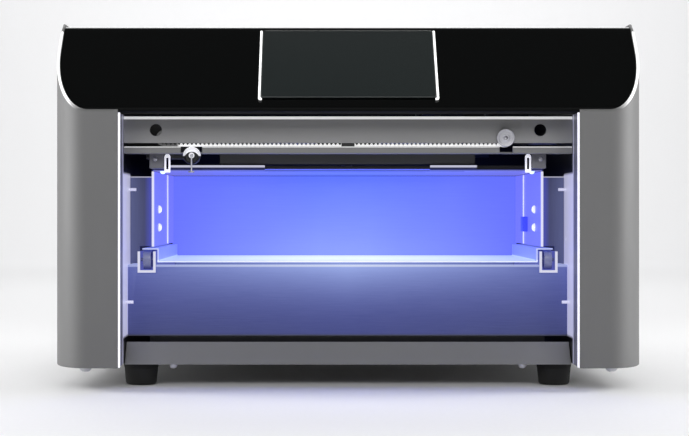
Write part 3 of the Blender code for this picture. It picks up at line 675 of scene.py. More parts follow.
def lit_tray():
    """White plastic under painted light, nearly burnt out by the lamps in the middle and bluer towards
    its sides. Its raised sides are painted with the chamber's violet light, a narrow line of painted
    shade runs behind its front edge, and the front edge gets a painted highlight."""
    part = Finish("tray_white", Emission_Strength=0.55)
    aside = part.x.size().between(0.02, 0.140)
    haze = part.noise(30.0, detail=3.0)
    floor_glow = part.mix((aside + (haze - 0.5) * 0.3).clipped(), srgb("f2f8ff"), srgb("b4ccff"))
    flank = part.z.between(tray[0].z + 0.0013, tray[0].z + 0.0020)
    floor_glow = part.mix(flank, floor_glow, srgb("7c8cff"))
    depth = part.y - tray[0].y
    # A narrow line of painted shade behind the front edge.
    shade_line = depth.between(0.0016, 0.0020) * (1.0 - depth.between(0.0050, 0.0054)) * (1.0 - flank)
    glow = part.mix(shade_line, floor_glow, part.mix(aside, srgb("8c9ade"), srgb("4a58b8")))
    # Painted highlight along the front edge.
    lip = 1.0 - depth.between(0.0012, 0.0016)
    glow = part.mix(lip, glow, part.mix(aside, srgb("ffffff"), srgb("d4deff")))
    part.give("Emission Color", glow)
    # Base colour tinted violet by painted light, most of all on the raised sides.
    body = part.mix(haze, srgb("b4bcd8"), srgb("ccd2e6"))
    body = part.mix(flank * 0.8, body, srgb("4c56a0"))
    part.give("Base Color", part.mix(shade_line.clipped(), body, srgb("4a54a0")))
    part.give("Roughness", 0.28 + haze * 0.12)
    part.relief(part.noise(1200.0, detail=2.0), 0.000006)
    keep("tray_white", part)


def lit_rail():
    """Folded rails: a painted highlight on their cut ends in front, and dark violet painted light
    inside.
    """
    rail = Finish("rail_steel", Metallic=0.6, Emission_Strength=0.70)
    streak = rail.noise(2600.0, stretch=(1, 0.02, 1), detail=3.0)
    # Painted highlight on the cut ends in front.
    end = 1.0 - rail.y.between(front + 0.0617, front + 0.0621)
    rail.give("Emission Color", rail.mix(end, srgb("565cac"), srgb("f4f4ff")))
    # Base colour tinted violet: painted light.
    rail.give("Base Color", rail.mix(streak, srgb("3a3e60"), srgb("5a5e80")))
    rail.give("Roughness", 0.34 + streak * 0.16)
    rail.relief(streak, 0.000004)
    keep("rail_steel", rail)


lit_tank()
lit_tray()
lit_rail()

# %% [markdown]
# The bay's side walls pass the light forwards, as painted light. The lamp parts glow behind a fine
# texture. The LED board, the white strips, the belt and the sensor are no lamps: their glow is
# painted light, each with its own strength.

# %% Lit bay walls and light sources
def lit_bay():
    """The bay's side walls, in painted light: a painted highlight on the front edge, a darker strip
    behind it, then lavender light that grows towards the chamber. Above the chamber's roof, under the
    tank and far back, they get near-black painted shade."""
    wall = Finish("wall_white", Metallic=0.15, Emission_Strength=0.55)
    deep = wall.y.between(front + 0.032, front + 0.038)
    edge = 1.0 - wall.y.between(front + 0.0025, front + 0.0045)
    above = wall.z.between(ceiling[0].z - 0.0030, ceiling[0].z - 0.0010)
    below = 1.0 - wall.z.between(tank[0].z - 0.0005, tank[0].z + 0.0015)
    beyond = wall.y.between(front + 0.083, front + 0.090)
    behind = wall.y.between(front + 0.0375, front + 0.0385)
    # Painted shade above the roof, under the tank and far back.
    hidden = ((above + below) * behind + beyond).clipped()
    spots = wall.noise(2200.0, detail=2.0)
    drift = wall.noise(14.0, detail=3.0)
    # Painted light: a darker strip near the front, lavender deeper in, and a painted highlight on the
    # front edge.
    glow = wall.mix(deep, srgb("4a4a58"), srgb("d4d4f2"))
    glow = wall.mix(edge, glow, srgb("f0f0fa"))
    wall.give("Emission Color", wall.mix(hidden, glow, srgb("000000")))
    # The base colour follows the same painted light: darker near the front, paler deeper in.
    near = wall.mix(deep, srgb("6a6a76"), srgb("b4b4c8"))
    coat = wall.mix((drift * 0.6 + spots * 0.4).clipped() * 0.2, near, srgb("80808c"))
    wall.give("Base Color", wall.mix(hidden, coat, srgb("141416")))
    wall.give("Roughness", 0.36 + (spots - 0.5) * 0.1)
    wall.relief(spots, 0.00001)
    keep("wall_white", wall)


def glowing(name, code, strength, grain, where=None):
    """A glowing surface behind a fine diffusing texture: a light source on the lamp parts, and painted
    light on the parts that are no lamps. where is 1 on the faces that give light; the rest goes
    nearly black, which on the belt is painted shade.
    """
    lamp = Finish(name, Emission_Strength=strength)
    pattern = lamp.noise(grain, detail=2.0)
    colour = srgb(code)
    dimmer = scaled(colour, 0.85)
    glow = lamp.mix(pattern, dimmer, colour)
    body = glow
    # Where given, the rest goes nearly black; on the belt that is painted shade.
    if where is not None:
        glow = lamp.mix(where(lamp), (0.0, 0.0, 0.0, 1.0), glow)
        body = lamp.mix(where(lamp), srgb("101012"), body)
    lamp.give("Emission Color", glow)
    lamp.give("Base Color", body)
    lamp.give("Roughness", 0.4 + pattern * 0.15)
    lamp.relief(pattern, 0.00001)
    keep(name, lamp)


def underside(lamp):
    """The diffuser's lower face, without its front edge."""
    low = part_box("lamp_diffuser")[0]
    return lamp.z.between(low.z + 0.0005, low.z + 0.0003) * lamp.y.between(
        low.y + 0.0008, low.y + 0.0012
    )


def exposed_run(lamp):
    """1 on the belt's lower run, where it shows between the beam and its guide, and 0.1 elsewhere.
    The belt glows as painted light on that run, and the rest is painted shade.
    """
    low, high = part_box("drive_belt")
    run = lamp.x.between(low.x + 0.0145, low.x + 0.0160) * lamp.z.between(
        (low.z + high.z) / 2, low.z + 0.003
    )
    return run * 0.9 + 0.1


lit_bay()
glowing("light_strip", "ffffff", 0.9, 1500.0)
glowing("diffuser", "6f7cff", 1.0, 900.0, where=underside)
# Painted light: the LED board, the white strips, the belt and the sensor glow though they are no
# lamps.
glowing("led_board", "b8b8ff", 0.25, 700.0)
glowing("lamp_spot", "d8f4ff", 1.2, 900.0)
glowing("strip_white", "eeeef6", 0.62, 1500.0)
glowing("belt_white", "f2f2f2", 0.60, 2500.0, where=exposed_run)
glowing("sensor_blue", "3c48c4", 0.65, 1500.0)

# %% [markdown]
# One small roller shows under the beam. Its finish follows the distance from its own axis.

# %% Tension roller finish
def black_face():
    """A black roller with a bright hub, and a bright crescent over the upper half of its rim. The
    crescent lies outside a circle of 5.3 mm radius drawn 2.7 mm below the axis. It is painted in
    place of a reflection, so it turns with the roller."""
    low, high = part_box("tension_roller")
    axis = (low + high) / 2
    wheel = Finish("tension_black", Metallic=0.1, Emission_Strength=0.8)
    dx, dz = wheel.x - axis.x, wheel.z - axis.z
    reach = (dx * dx + dz * dz) ** 0.5
    below = dz + 0.0027
    crescent = ((dx * dx + below * below) ** 0.5).between(0.0052, 0.0055) * dz.between(-0.0006, 0.0)
    face = reach.between(0.0018, 0.0021) * (1.0 - crescent)
    grain = wheel.noise(2500.0, detail=2.0)
    bright = wheel.mix(grain, srgb("e0e0e4"), srgb("fafafc"))
    wheel.give("Base Color", wheel.mix(face, bright, srgb("0a0a0b")))
    # The hub and the crescent glow: painted highlights.
    wheel.give("Emission Color", wheel.mix(face, srgb("a0a0a4"), srgb("000000")))
    wheel.give("Roughness", 0.35 + grain * 0.1)
    wheel.relief(grain, 0.000004)
    keep("tension_black", wheel)


black_face()

# %% [markdown]
# ## Floor and light
#
# A sweep of pale paper makes the floor and the background in one curve.

# %% Paper sweep
paper = Finish("paper", Roughness=0.9)
fibre = paper.noise(400.0, detail=4.0)
paper.give("Base Color", paper.mix(fibre, srgb("e9e9ea"), srgb("f1f1f2")))
paper.relief(fibre, 0.00005)

turn = np.linspace(0, np.pi / 2, 24)
bend = 0.9
flat_end = 3.2
floor_line = np.concatenate(
    [
        [[-5.0, 0.0]],
        np.stack([flat_end + bend * np.sin(turn), bend * (1 - np.cos(turn))], -1),
        [[flat_end + bend, 4.5]],
    ]
)
across = np.linspace(-5.0, 5.0, 9)
grid = np.stack(
    [
        np.repeat(across[None], len(floor_line), 0),
        np.repeat(floor_line[:, :1], len(across), 1),
        np.repeat(floor_line[:, 1:] - 0.0004, len(across), 1),
    ],
    -1,
)
sweep = surface("floor", grid, wrap_columns=False, caps="none")
sweep.data.materials.append(paper.material)
sweep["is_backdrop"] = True
print("floor faces:", len(sweep.data.polygons))

# %% [markdown]
# Two tall soft boxes stand at the sides, so that they brighten the rounded corners of the casings. A
# wide one fills the front, one lights the back, and one brightens the far paper. Nothing hangs
# straight above, because the sloping black console mirrors exactly that direction. Inside the machine
# one violet panel of light hangs below the roof.

# %% Lights
bpy.context.scene.view_settings.view_transform = "Standard"
world = bpy.data.worlds.new("world")
world.use_nodes = True
world.node_tree.nodes["Background"].inputs["Color"].default_value = (1.0, 1.0, 1.0, 1.0)
world.node_tree.nodes["Background"].inputs["Strength"].default_value = 0.12
bpy.context.scene.world = world


def soft_box(name, place, target, size, power, colour=(1.0, 1.0, 1.0)):
    """A rectangular light that faces its target. Size is width and height, in metres."""
    data = bpy.data.lights.new(name, "AREA")
    data.shape = "RECTANGLE"
    data.size, data.size_y = size
    data.energy = power
    data.color = colour
    box = bpy.data.objects.new(name, data)
    box.location = place
    box.rotation_euler = (Vector(target) - Vector(place)).to_track_quat("-Z", "Y").to_euler()
    bpy.context.scene.collection.objects.link(box)
    print("light", name, power, "W")


middle = (0.0, 0.0, 0.12)
soft_box("box_left", (-1.2, -0.05, 0.45), middle, (0.6, 1.3), 18.0)
soft_box("box_right", (1.2, -0.05, 0.45), middle, (0.6, 1.3), 18.0)
soft_box("box_front", (0.0, -1.7, 0.9), middle, (1.6, 0.6), 15.0)
soft_box("box_back", (0.0, 1.5, 1.3), middle, (1.8, 0.8), 14.0)
soft_box("box_paper", (0.0, 2.2, 2.2), (0.0, flat_end + bend, 0.7), (3.0, 0.6), 60.0)

violet = (0.22, 0.26, 1.0)
chamber_y = (ceiling[0].y + ceiling[1].y) / 2
chamber_light_place = (0.0, chamber_y, chamber_top - 0.004)
soft_box("chamber_light", chamber_light_place, (0.0, chamber_y, 0.0), (0.2, 0.14), 0.30, violet)

# %% [markdown]
# ## Dressing the frame
#
# Every part of the frame first gets the finish of its slot. A few parts share a slot but are lit
# differently, so they get a finish of their own.

# %% Finishes for the frame's parts
SPECIAL = {
    "wash_tank": "tank_steel",
    "chamber_side_left": "side_steel",
    "chamber_side_right": "side_steel",
    "filler_plate_left": "filler_steel",
    "filler_plate_right": "filler_steel",
    "ceiling_panel": "roof_steel",
    "base_pan": "base_grey",
    "belt_guide": "guide_grey",
    "rear_cover": "cover_grey",
    # The drive pulley wears black plastic in place of its metal: painted shade where it shows through
    # the beam's hole.
    "drive_pulley": "black_plastic",
    "tray_rail_left": "rail_steel",
    "tray_rail_right": "rail_steel",
    "chamber_sensor": "sensor_blue",
    "roof_hanger_left": "hanger_grey",
    "roof_hanger_right": "hanger_grey",
    # The slotted strips wear the glowing white finish: painted light.
    "slotted_strip_left": "strip_white",
    "slotted_strip_right": "strip_white",
    "tension_roller": "tension_black",
}


def finish_of(node):
    """The material that a part of the frame wears."""
    return FINISHES[SPECIAL.get(node, slot_of[node])]


for node, thing in nodes.items():
    for place in thing.material_slots:
        place.material = finish_of(node)
print("dressed", len(nodes), "parts")


def settle(piece, node, look=None, body=None, replace=True):
    """Gives a new piece its finish, its body and its slot, and lets it stand for a frame part."""
    piece.data.materials.clear()
    piece.data.materials.append(FINISHES[look] if look else finish_of(node))
    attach(piece, body or body_of[node])
    if replace:
        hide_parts(node)
    return piece

# %% [markdown]
# ## Softened sheet metal
#
# Most of the frame's plates already have the right shape. What gives a computed part away is its
# perfectly sharp edges, so a copy of each gets its triangles merged back into flat faces and a
# Bevel of a few tenths of a millimetre, which is what a folded or deburred edge has. The copy then
# stands for the frame's part.

# %% Softened copies
def softened(node, width):
    """A copy of a frame part: doubles merged, flat faces rejoined, edges over 30 degrees bevelled."""
    mesh = nodes[node].data.copy()
    work = bmesh.new()
    work.from_mesh(mesh)
    bmesh.ops.remove_doubles(work, verts=work.verts, dist=0.000002)
    bmesh.ops.dissolve_limit(
        work, angle_limit=math.radians(0.5), verts=work.verts, edges=work.edges
    )
    work.to_mesh(mesh)
    work.free()
    mesh.shade_smooth()
    mesh.set_sharp_from_angle(angle=math.radians(30))
    made = bpy.data.objects.new(node + "_soft", mesh)
    bpy.context.scene.collection.objects.link(made)
    bevel = made.modifiers.new("edge", "BEVEL")
    bevel.width = width
    bevel.segments = 2
    bevel.limit_method = "ANGLE"
    bevel.angle_limit = math.radians(30)
    return settle(made, node)


EDGES = {
    "top_beam": 0.0005,
    "belt_guide": 0.0004,
    "base_pan": 0.0005,
    "rear_cover": 0.0003,
    "left_inner_wall": 0.0003,
    "right_inner_wall": 0.0003,
    "chamber_side_left": 0.0003,
    "chamber_side_right": 0.0003,
    "ceiling_panel": 0.0003,
    "lamp_housing": 0.0008,
    "roof_hanger_left": 0.0003,
    "roof_hanger_right": 0.0003,
    "slotted_strip_left": 0.0003,
    "slotted_strip_right": 0.0003,
    "filler_plate_left": 0.0003,
    "filler_plate_right": 0.0003,
    "tray": 0.0003,
    "tray_rail_left": 0.0003,
    "tray_rail_right": 0.0003,
    "wash_tank": 0.0004,
    "chamber_sensor": 0.0006,
    "belt_motor": 0.0010,
    "motor_bracket": 0.0003,
    "belt_clamp": 0.0004,
    "spray_carriage": 0.0008,
    "spray_pump": 0.0010,
    "stirrer_motor": 0.0008,
    "power_supply": 0.0006,
    "power_inlet": 0.0006,
    "power_switch": 0.0003,
    "fan_frame": 0.0008,
    "tension_stem": 0.0003,
}
for node, edge_width in EDGES.items():
    softened(node, edge_width)
print("softened", len(EDGES), "parts")

# %% [markdown]
# ## Side casings
#
# Each casing is a bent steel shell with a rounded front corner, open towards the machine. In plan its
# wall runs along the front, round a quarter ellipse, down the side and across the back. At the top
# it is cut by the sloping plane of the console. So the shape is a section carried along that plan:
# up the outside, over a rounded rim, down the inside, and in across the floor to the open edge.

# %% Side casings
casing_low, casing_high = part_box("right_side_panel")
hood_low, hood_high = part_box("console_hood")
slope_foot = hood_low.z
open_x = casing_low.x
outer_x = casing_high.x
front_x = 0.1541
corner_start = 0.1740
corner_depth = 0.0450
back = casing_high.y


def plan_line(inset, steps=26):
    """The casing's plan, drawn in by inset: front, quarter ellipse x = a sin t, y = b (1 - cos t),
    side, small rear corner, back. Returns (x, depth behind the front) with the same count always."""
    t = np.linspace(0, np.pi / 2, steps)
    flat = np.linspace(front_x, corner_start, 6)[:-1]
    a, b = outer_x - corner_start - inset, corner_depth - inset
    corner = np.stack([corner_start + a * np.sin(t), inset + b * (1 - np.cos(t))], -1)
    side_d = np.linspace(corner_depth, back - front - 0.004, 22)[1:]
    side = np.stack([np.full_like(side_d, outer_x - inset), side_d], -1)
    rear_r = 0.004 - inset
    rear = np.stack(
        [
            outer_x - 0.004 + rear_r * np.cos(t[::5]),
            back - front - 0.004 + rear_r * np.sin(t[::5]),
        ],
        -1,
    )
    shut = np.linspace(outer_x - 0.004, open_x, 5)[1:]
    return np.concatenate(
        [
            np.stack([flat, np.full_like(flat, inset)], -1),
            corner,
            side,
            rear,
            np.stack([shut, np.full_like(shut, back - front - inset)], -1),
        ]
    )


def casing(name, side):
    """Section of the wall: bottom edge, outside, rounded rim cut by the slope, inside, floor."""
    wall, rim, foot_r = 0.0018, 0.00075, 0.0009
    bottom = casing_low.z
    arc = np.linspace(0, np.pi / 2, 5)
    columns = []

    def column(inset, height_of):
        line = plan_line(inset)
        columns.append(np.stack([line[:, 0], line[:, 1], height_of(line[:, 1])], -1))

    def rim_height(depth):
        return np.minimum(slope_foot + depth, casing_high.z)

    for a in arc:
        column(foot_r * (1 - np.sin(a)), lambda d, a=a: 0 * d + bottom + foot_r * (1 - np.cos(a)))
    for a in arc:
        column(rim * (1 - np.cos(a)), lambda d, a=a: rim_height(d) - rim * (1 - np.sin(a)))
    for a in arc[::-1]:
        column(wall - rim * (1 - np.cos(a)), lambda d, a=a: rim_height(d) - rim * (1 - np.sin(a)))
    column(wall, lambda d: 0 * d + bottom + wall)
    line = plan_line(wall)
    edge_y = np.clip(line[:, 1], wall, back - front - wall)
    edge_x = np.full(len(line), open_x)
    edge_x[0] = front_x
    for level in (bottom + wall, bottom):
        columns.append(np.stack([edge_x, edge_y, np.full(len(line), level)], -1))
    grid = np.stack(columns, 1)
    grid[..., 0] *= side
    grid[..., 1] += front
    made = surface(name, grid)
    print(name, len(made.data.polygons), "faces")
    return made


settle(casing("casing_left", -1), "left_side_panel")
settle(casing("casing_right", 1), "right_side_panel")


def bay_trim(name, side):
    """A pale edging strip pushed onto the casing's inner edge, all the way up."""
    low, high = casing_low.z + 0.0004, slope_foot - 0.0008
    middle_z, half_z = (low + high) / 2, (high - low) / 2
    middle_x = front_x - 0.00085
    made = slab(
        name,
        0.00070,
        half_z,
        front + 0.0003,
        front + 0.0018,
        0.0004,
        0.0003,
        lambda u, v, h: np.stack([side * (middle_x + u), h, middle_z + v], -1),
    )
    # The strip wears the glowing white finish: a painted highlight along the bay's edge.
    made.data.materials.append(FINISHES["strip_white"])
    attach(made, "chassis")


bay_trim("bay_trim_left", -1)
bay_trim("bay_trim_right", 1)
print("edging strips placed")

# %% [markdown]
# ## Console hood
#
# The black console is one folded skin: a lip that turns under, a 45 degree slope with the screen on
# it, and a flat roof. Its plan follows the rounded corners of the casings. It is a ruled surface.
# One index follows the folded section from the lip to the back, and the other runs across.

# %% Console hood
def hood():
    """Section points (depth, height) with rounded folds, scaled across x so that the ends follow the
    corner ellipse; the skin is the same grid pushed in along the section's normal."""
    skin = 0.0024
    start = 0.0024
    top_depth = start + hood_high.z - slope_foot
    line = rounded(
        [
            [0.0375, slope_foot],
            [start, slope_foot],
            [top_depth, hood_high.z],
            [hood_high.y - front, hood_high.z],
        ],
        0.0035,
        steps=7,
    )
    slope_run = np.linspace(line[7], line[8], 26)[1:-1]
    roof_run = np.linspace(line[14], line[15], 8)[1:-1]
    line = np.concatenate([line[:8], slope_run, line[8:15], roof_run, line[15:]])
    section = folded(line, -skin)
    depth = section[:, 0]
    inner = np.clip(depth, 0.0023, corner_depth)
    bow = np.sqrt(np.clip(1 - (1 - (inner - 0.0023) / (corner_depth - 0.0023)) ** 2, 0, 1))
    reach = corner_start + (hood_high.x - corner_start) * bow
    half = np.where(depth < corner_depth, reach, hood_high.x)
    across = np.linspace(-1, 1, 13)
    grid = np.stack(
        [
            across[:, None] * half[None],
            np.repeat((front + depth)[None], len(across), 0),
            np.repeat(section[:, 1][None], len(across), 0),
        ],
        -1,
    )
    return surface("hood_skin", grid, caps="ladder", crease=30)


settle(hood(), "console_hood")

# %% [markdown]
# ## Screen and its light bars
#
# The touchscreen is a thin slab of glass with rounded corners, glued on the slope. A light bar runs up
# each side and hooks in a little under the glass. Both are placed on the slope by one small function
# that turns (across, along, above) into a point.

# %% Screen
HALF_ROOT = math.sqrt(0.5)
slope_start_y = front + 0.0024


def on_slope(across, along, above):
    """across is x; along runs up the 45 degree slope from its foot; above is square to it."""
    return np.stack(
        [
            across,
            slope_start_y + (along - above) * HALF_ROOT,
            slope_foot + (along + above) * HALF_ROOT,
        ],
        -1,
    )


screen_low = 0.0127
screen_high = screen_low + 0.0700
screen_mid = (screen_low + screen_high) / 2
glass = slab(
    "screen_slab",
    0.0590,
    (screen_high - screen_low) / 2,
    0.0003,
    0.0016,
    0.0020,
    0.0004,
    lambda u, v, h: on_slope(u, v + screen_mid, h),
)
settle(glass, "touchscreen")


def light_bar(name, side):
    """A rounded bar carried along a path: in under the glass, round a corner, and up the slope."""
    path = rounded(
        [[0.0584, screen_low - 0.0013], [0.0601, screen_low - 0.0013], [0.0601, screen_high - 0.0004]],
        0.0008,
        steps=5,
    )
    step = np.gradient(path, axis=0)
    step /= np.linalg.norm(step, axis=1)[:, None]
    normal = np.stack([step[:, 1], -step[:, 0]], -1)
    section = rectangle(0.00072, 0.00062, 0.0003, steps=4)
    flat = path[:, None] + normal[:, None] * section[None, :, :1]
    above = np.repeat(section[None, :, 1] + 0.00096, len(path), 0)
    grid = on_slope(side * flat[..., 0], flat[..., 1], above)
    return surface(name, grid)


settle(light_bar("light_bar_left", -1), "screen_light_left")
settle(light_bar("light_bar_right", 1), "screen_light_right")
print("screen and light bars placed")

# %% [markdown]
# ## The toothed belt
#
# The drive belt is one closed loop of white rubber with square teeth on its inside, 2.9 mm apart. Its
# path is two straight runs and two half circles. One index follows that path, and the other goes
# round the belt's section. Only the inner side of the section knows about teeth: it steps inwards
# where the distance along the belt falls on a tooth.

# %% Belt
belt_low, belt_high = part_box("drive_belt")
belt_axis = (belt_low.z + belt_high.z) / 2
pitch_r = 0.0051
drive_x = belt_low.x + 0.0056
idler_x = belt_high.x - 0.0056
tooth_pitch = 2 * np.pi * pitch_r / 11
teeth = 172


def tooth(distance, pitch, half_root, half_tip):
    """1 on a tooth and 0 between teeth, with straight flanks: a clipped triangle wave of the distance
    from the middle of the pitch."""
    off = np.abs((distance / pitch) % 1.0 - 0.5)
    return np.clip((half_root - off) / (half_root - half_tip), 0, 1)


def drive_belt():
    """Points at (path) + (outward normal) * offset, where the offset is +0.5 mm outside the pitch line
    and -0.5 mm, or -1.6 mm on a tooth, inside it."""
    run = idler_x - drive_x
    wrap = np.pi * pitch_r
    s = np.arange(teeth * 12) / (teeth * 12) * (2 * run + 2 * wrap)
    turned = [
        (s < wrap),
        (s >= wrap) & (s < wrap + run),
        (s >= wrap + run) & (s < 2 * wrap + run),
        (s >= 2 * wrap + run),
    ]
    angle = np.select(
        turned,
        [
            np.pi / 2 + s / pitch_r,
            np.full_like(s, 1.5 * np.pi),
            -np.pi / 2 + (s - wrap - run) / pitch_r,
            np.full_like(s, np.pi / 2),
        ],
    )
    centre = np.select(
        turned,
        [
            np.full_like(s, drive_x),
            drive_x + (s - wrap),
            np.full_like(s, idler_x),
            idler_x - (s - 2 * wrap - run),
        ],
    )
    depth = 0.0005 + 0.0011 * tooth(s, tooth_pitch, 0.29, 0.21)
    edge = 0.00012
    y0, y1 = belt_low.y, belt_high.y
    outside = np.full_like(s, 0.0005)
    columns = [
        (y0 + edge, outside),
        (y1 - edge, outside),
        (y1, outside - edge),
        (y1, edge - depth),
        (y1 - edge, -depth),
        (y0 + edge, -depth),
        (y0, edge - depth),
        (y0, outside - edge),
    ]
    rings = []
    for y, offset in columns:
        radius = pitch_r + offset
        rings.append(
            np.stack(
                [
                    centre + radius * np.cos(angle),
                    np.full_like(s, y),
                    belt_axis + radius * np.sin(angle),
                ],
                -1,
            )
        )
    return surface("toothed_belt", np.stack(rings, 1), wrap_rows=True, crease=25)


belt = settle(drive_belt(), "drive_belt")
print("belt:", teeth, "teeth,", len(belt.data.polygons), "faces")

# %% [markdown]
# ## Pulleys and rollers
#
# Everything that turns is a lathe shape with its corners eased. The two belt pulleys have eleven
# grooves, which are cut by letting the radius dip with the angle. Their grooves start half a tooth
# from where the belt comes on, so that the belt's teeth sit in them.

# %% Pulleys
belt_mid = (belt_low.y + belt_high.y) / 2
belt_half = (belt_high.y - belt_low.y) / 2
grip = 0.0043


def eased(profile, radius=0.0002):
    """A profile with rounded corners."""
    return rounded(profile, radius, steps=4)


def grooves(first):
    """The radius with eleven grooves in the grip, the first half a pitch after the angle first."""

    def shape(angle, radius):
        seen = np.pi / 2 - angle
        dip = 0.00105 * tooth(seen - first, 2 * np.pi / 11, 0.36, 0.26)
        return np.where(np.abs(radius - grip) < 0.00001, radius - dip, radius)

    return shape


grip_rows = [(grip, belt_half + 0.00025), (grip, 0.0), (grip, 0.0001 - belt_half)]
drive_profile = np.concatenate(
    [
        [(0.0, 0.0102), (0.0028, 0.0102), (0.0030, 0.0100), (0.0030, belt_half + 0.0010)],
        [(0.0060, belt_half + 0.0010), (0.0062, belt_half + 0.0008), (0.0062, belt_half + 0.0003)],
        grip_rows,
        [(grip - 0.0012, -belt_half), (0.0, -belt_half)],
    ]
)
idler_profile = np.concatenate(
    [
        [(0.0, belt_half + 0.0010), (0.0060, belt_half + 0.0010), (0.0062, belt_half + 0.0008)],
        [(0.0062, belt_half + 0.0003)],
        grip_rows,
        [(grip - 0.0012, -belt_half), (0.0020, -belt_half), (0.0020, -0.0080)],
        eased(
            [
                (0.0020, -0.0080),
                (0.0061, -0.0080),
                (0.0061, -0.0102),
                (0.0050, -0.0102),
                (0.0046, -0.0098),
                (0.0028, -0.0098),
                (0.0024, -0.0102),
                (0.0014, -0.0102),
                (0.0010, -0.0070),
                (0.0, -0.0070),
            ],
            0.00035,
        )[1:],
    ]
)
settle(
    lathe(
        "drive_pulley_turned",
        drive_profile,
        "Y",
        (drive_x, belt_mid, belt_axis),
        steps=132,
        shape=grooves(np.pi / 2),
    ),
    "drive_pulley",
)
settle(
    lathe(
        "idler_pulley_turned",
        idler_profile,
        "Y",
        (idler_x, belt_mid, belt_axis),
        steps=132,
        shape=grooves(-np.pi / 2),
    ),
    "idler_pulley",
)
print("pulleys turned at", round(drive_x, 4), round(idler_x, 4))

# %% [markdown]
# The rollers are lathe shapes too. Each has a shallow dish on both faces, between hub and tyre.

# %% Tension roller and tray rollers
tension_low, tension_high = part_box("tension_roller")
tension_centre = tuple((tension_low + tension_high) / 2)
tension_ring = rounded(
    [
        (0.0047, 0.0030),
        (0.0060, 0.0030),
        (0.0060, -0.0020),
        (0.0050, -0.0030),
        (0.0047, -0.0026),
        (0.0045, -0.0010),
        (0.0024, -0.0010),
        (0.0020, -0.0030),
        (0.0012, -0.0030),
        (0.0012, 0.0030),
        (0.0022, 0.0030),
        (0.0024, 0.0014),
        (0.0044, 0.0014),
    ],
    0.0003,
    steps=4,
    closed=True,
)
tension_ring = np.concatenate([tension_ring, tension_ring[:1]])
settle(
    lathe("tension_roller_turned", tension_ring, "Y", tension_centre, steps=72), "tension_roller"
)


def tray_roller(node):
    """A moulded wheel with a shallow dish, a rolled tyre and its spindle."""
    low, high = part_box(node)
    profile = eased(
        [
            (0.0, 0.0060),
            (0.0012, 0.0060),
            (0.0012, 0.0028),
            (0.0026, 0.0028),
            (0.0030, 0.0019),
            (0.0050, 0.0019),
            (0.0053, 0.0028),
            (0.0068, 0.0028),
            (0.0068, -0.0028),
            (0.0053, -0.0028),
            (0.0050, -0.0019),
            (0.0030, -0.0019),
            (0.0026, -0.0028),
            (0.0012, -0.0028),
            (0.0012, -0.0060),
            (0.0, -0.0060),
        ],
        0.0004,
    )
    return settle(lathe(node + "_turned", profile, "X", tuple((low + high) / 2)), node)


for node in [n for n in nodes if n.startswith("tray_roller_")]:
    tray_roller(node)
print("rollers turned")

# %% [markdown]
# ## Feet, rods and nozzle
#
# The feet are tapered rubber with a rolled lower edge and a shallow groove that grips the bench. The
# guide rods are ground bar with chamfered ends. The spray nozzle is turned steel with a knurled
# collar, whose knurl is a fine ripple of the radius.

# %% Feet, rods and nozzle
foot_profile = eased(
    [
        (0.0, 0.0144),
        (0.01225, 0.0144),
        (0.01190, 0.0118),
        (0.01165, 0.0113),
        (0.01165, 0.0106),
        (0.01070, 0.0012),
        (0.0100, 0.0),
        (0.0070, 0.0),
        (0.0062, 0.0008),
        (0.0, 0.0008),
    ],
    0.0006,
)
for node in [n for n in nodes if n.startswith("foot_")]:
    low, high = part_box(node)
    centre = ((low.x + high.x) / 2, (low.y + high.y) / 2, low.z)
    settle(lathe(node + "_turned", foot_profile, "Z", centre), node)

for node in ("guide_rod_front", "guide_rod_rear"):
    low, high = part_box(node)
    half = (high.x - low.x) / 2
    profile = [
        (0.0, half),
        (0.0025, half),
        (0.0030, half - 0.0005),
        (0.0030, half / 3),
        (0.0030, -half / 3),
        (0.0030, 0.0005 - half),
        (0.0025, -half),
        (0.0, -half),
    ]
    settle(lathe(node + "_ground", profile, "X", tuple((low + high) / 2), steps=40), node)


def knurl(angle, radius):
    """Forty shallow ridges round the collar."""
    ridge = 0.00012 * (1 - np.cos(40 * angle)) / 2
    return np.where(np.abs(radius - 0.0090) < 0.00001, radius - ridge, radius)


nozzle_low, nozzle_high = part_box("spray_nozzle")
nozzle_profile = np.concatenate(
    [
        [(0.0, 0.0), (0.0086, 0.0), (0.0090, -0.0004), (0.0090, -0.0026), (0.0086, -0.0030)],
        eased(
            [
                (0.0070, -0.0034),
                (0.0040, -0.0052),
                (0.0040, -0.0096),
                (0.0036, -0.0100),
                (0.0036, -0.0112),
                (0.0040, -0.0116),
                (0.0040, -0.0130),
                (0.0022, -0.0160),
                (0.0008, -0.0160),
                (0.0006, -0.0140),
                (0.0, -0.0140),
            ],
            0.0003,
        ),
    ]
)
nozzle_centre = (0.0, (nozzle_low.y + nozzle_high.y) / 2, nozzle_high.z)
settle(
    lathe("nozzle_turned", nozzle_profile, "Z", nozzle_centre, steps=160, shape=knurl),
    "spray_nozzle",
)
print("feet, rods and nozzle turned")

# %% [markdown]
# ## Fan rotor and impeller
#
# A fan blade is a thin section that turns as it runs outwards: its pitch is steep at the hub and flat
# at the tip. The impeller's vanes stand upright on a disc and bend along an arc.

# %% Fan rotor
fan_low, fan_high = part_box("fan_rotor")
fan_centre = np.array([0.090, (fan_low.y + fan_high.y) / 2, 0.195])


def blade_section(chord, thick, steps=12):
    """A closed lens: x = chord cos t, y = thickness sin t, a little fuller in front."""
    t = np.linspace(0, 2 * np.pi, steps, endpoint=False)
    return np.stack([chord * np.cos(t), thick * np.sin(t) * (1 + 0.25 * np.cos(t))], -1)


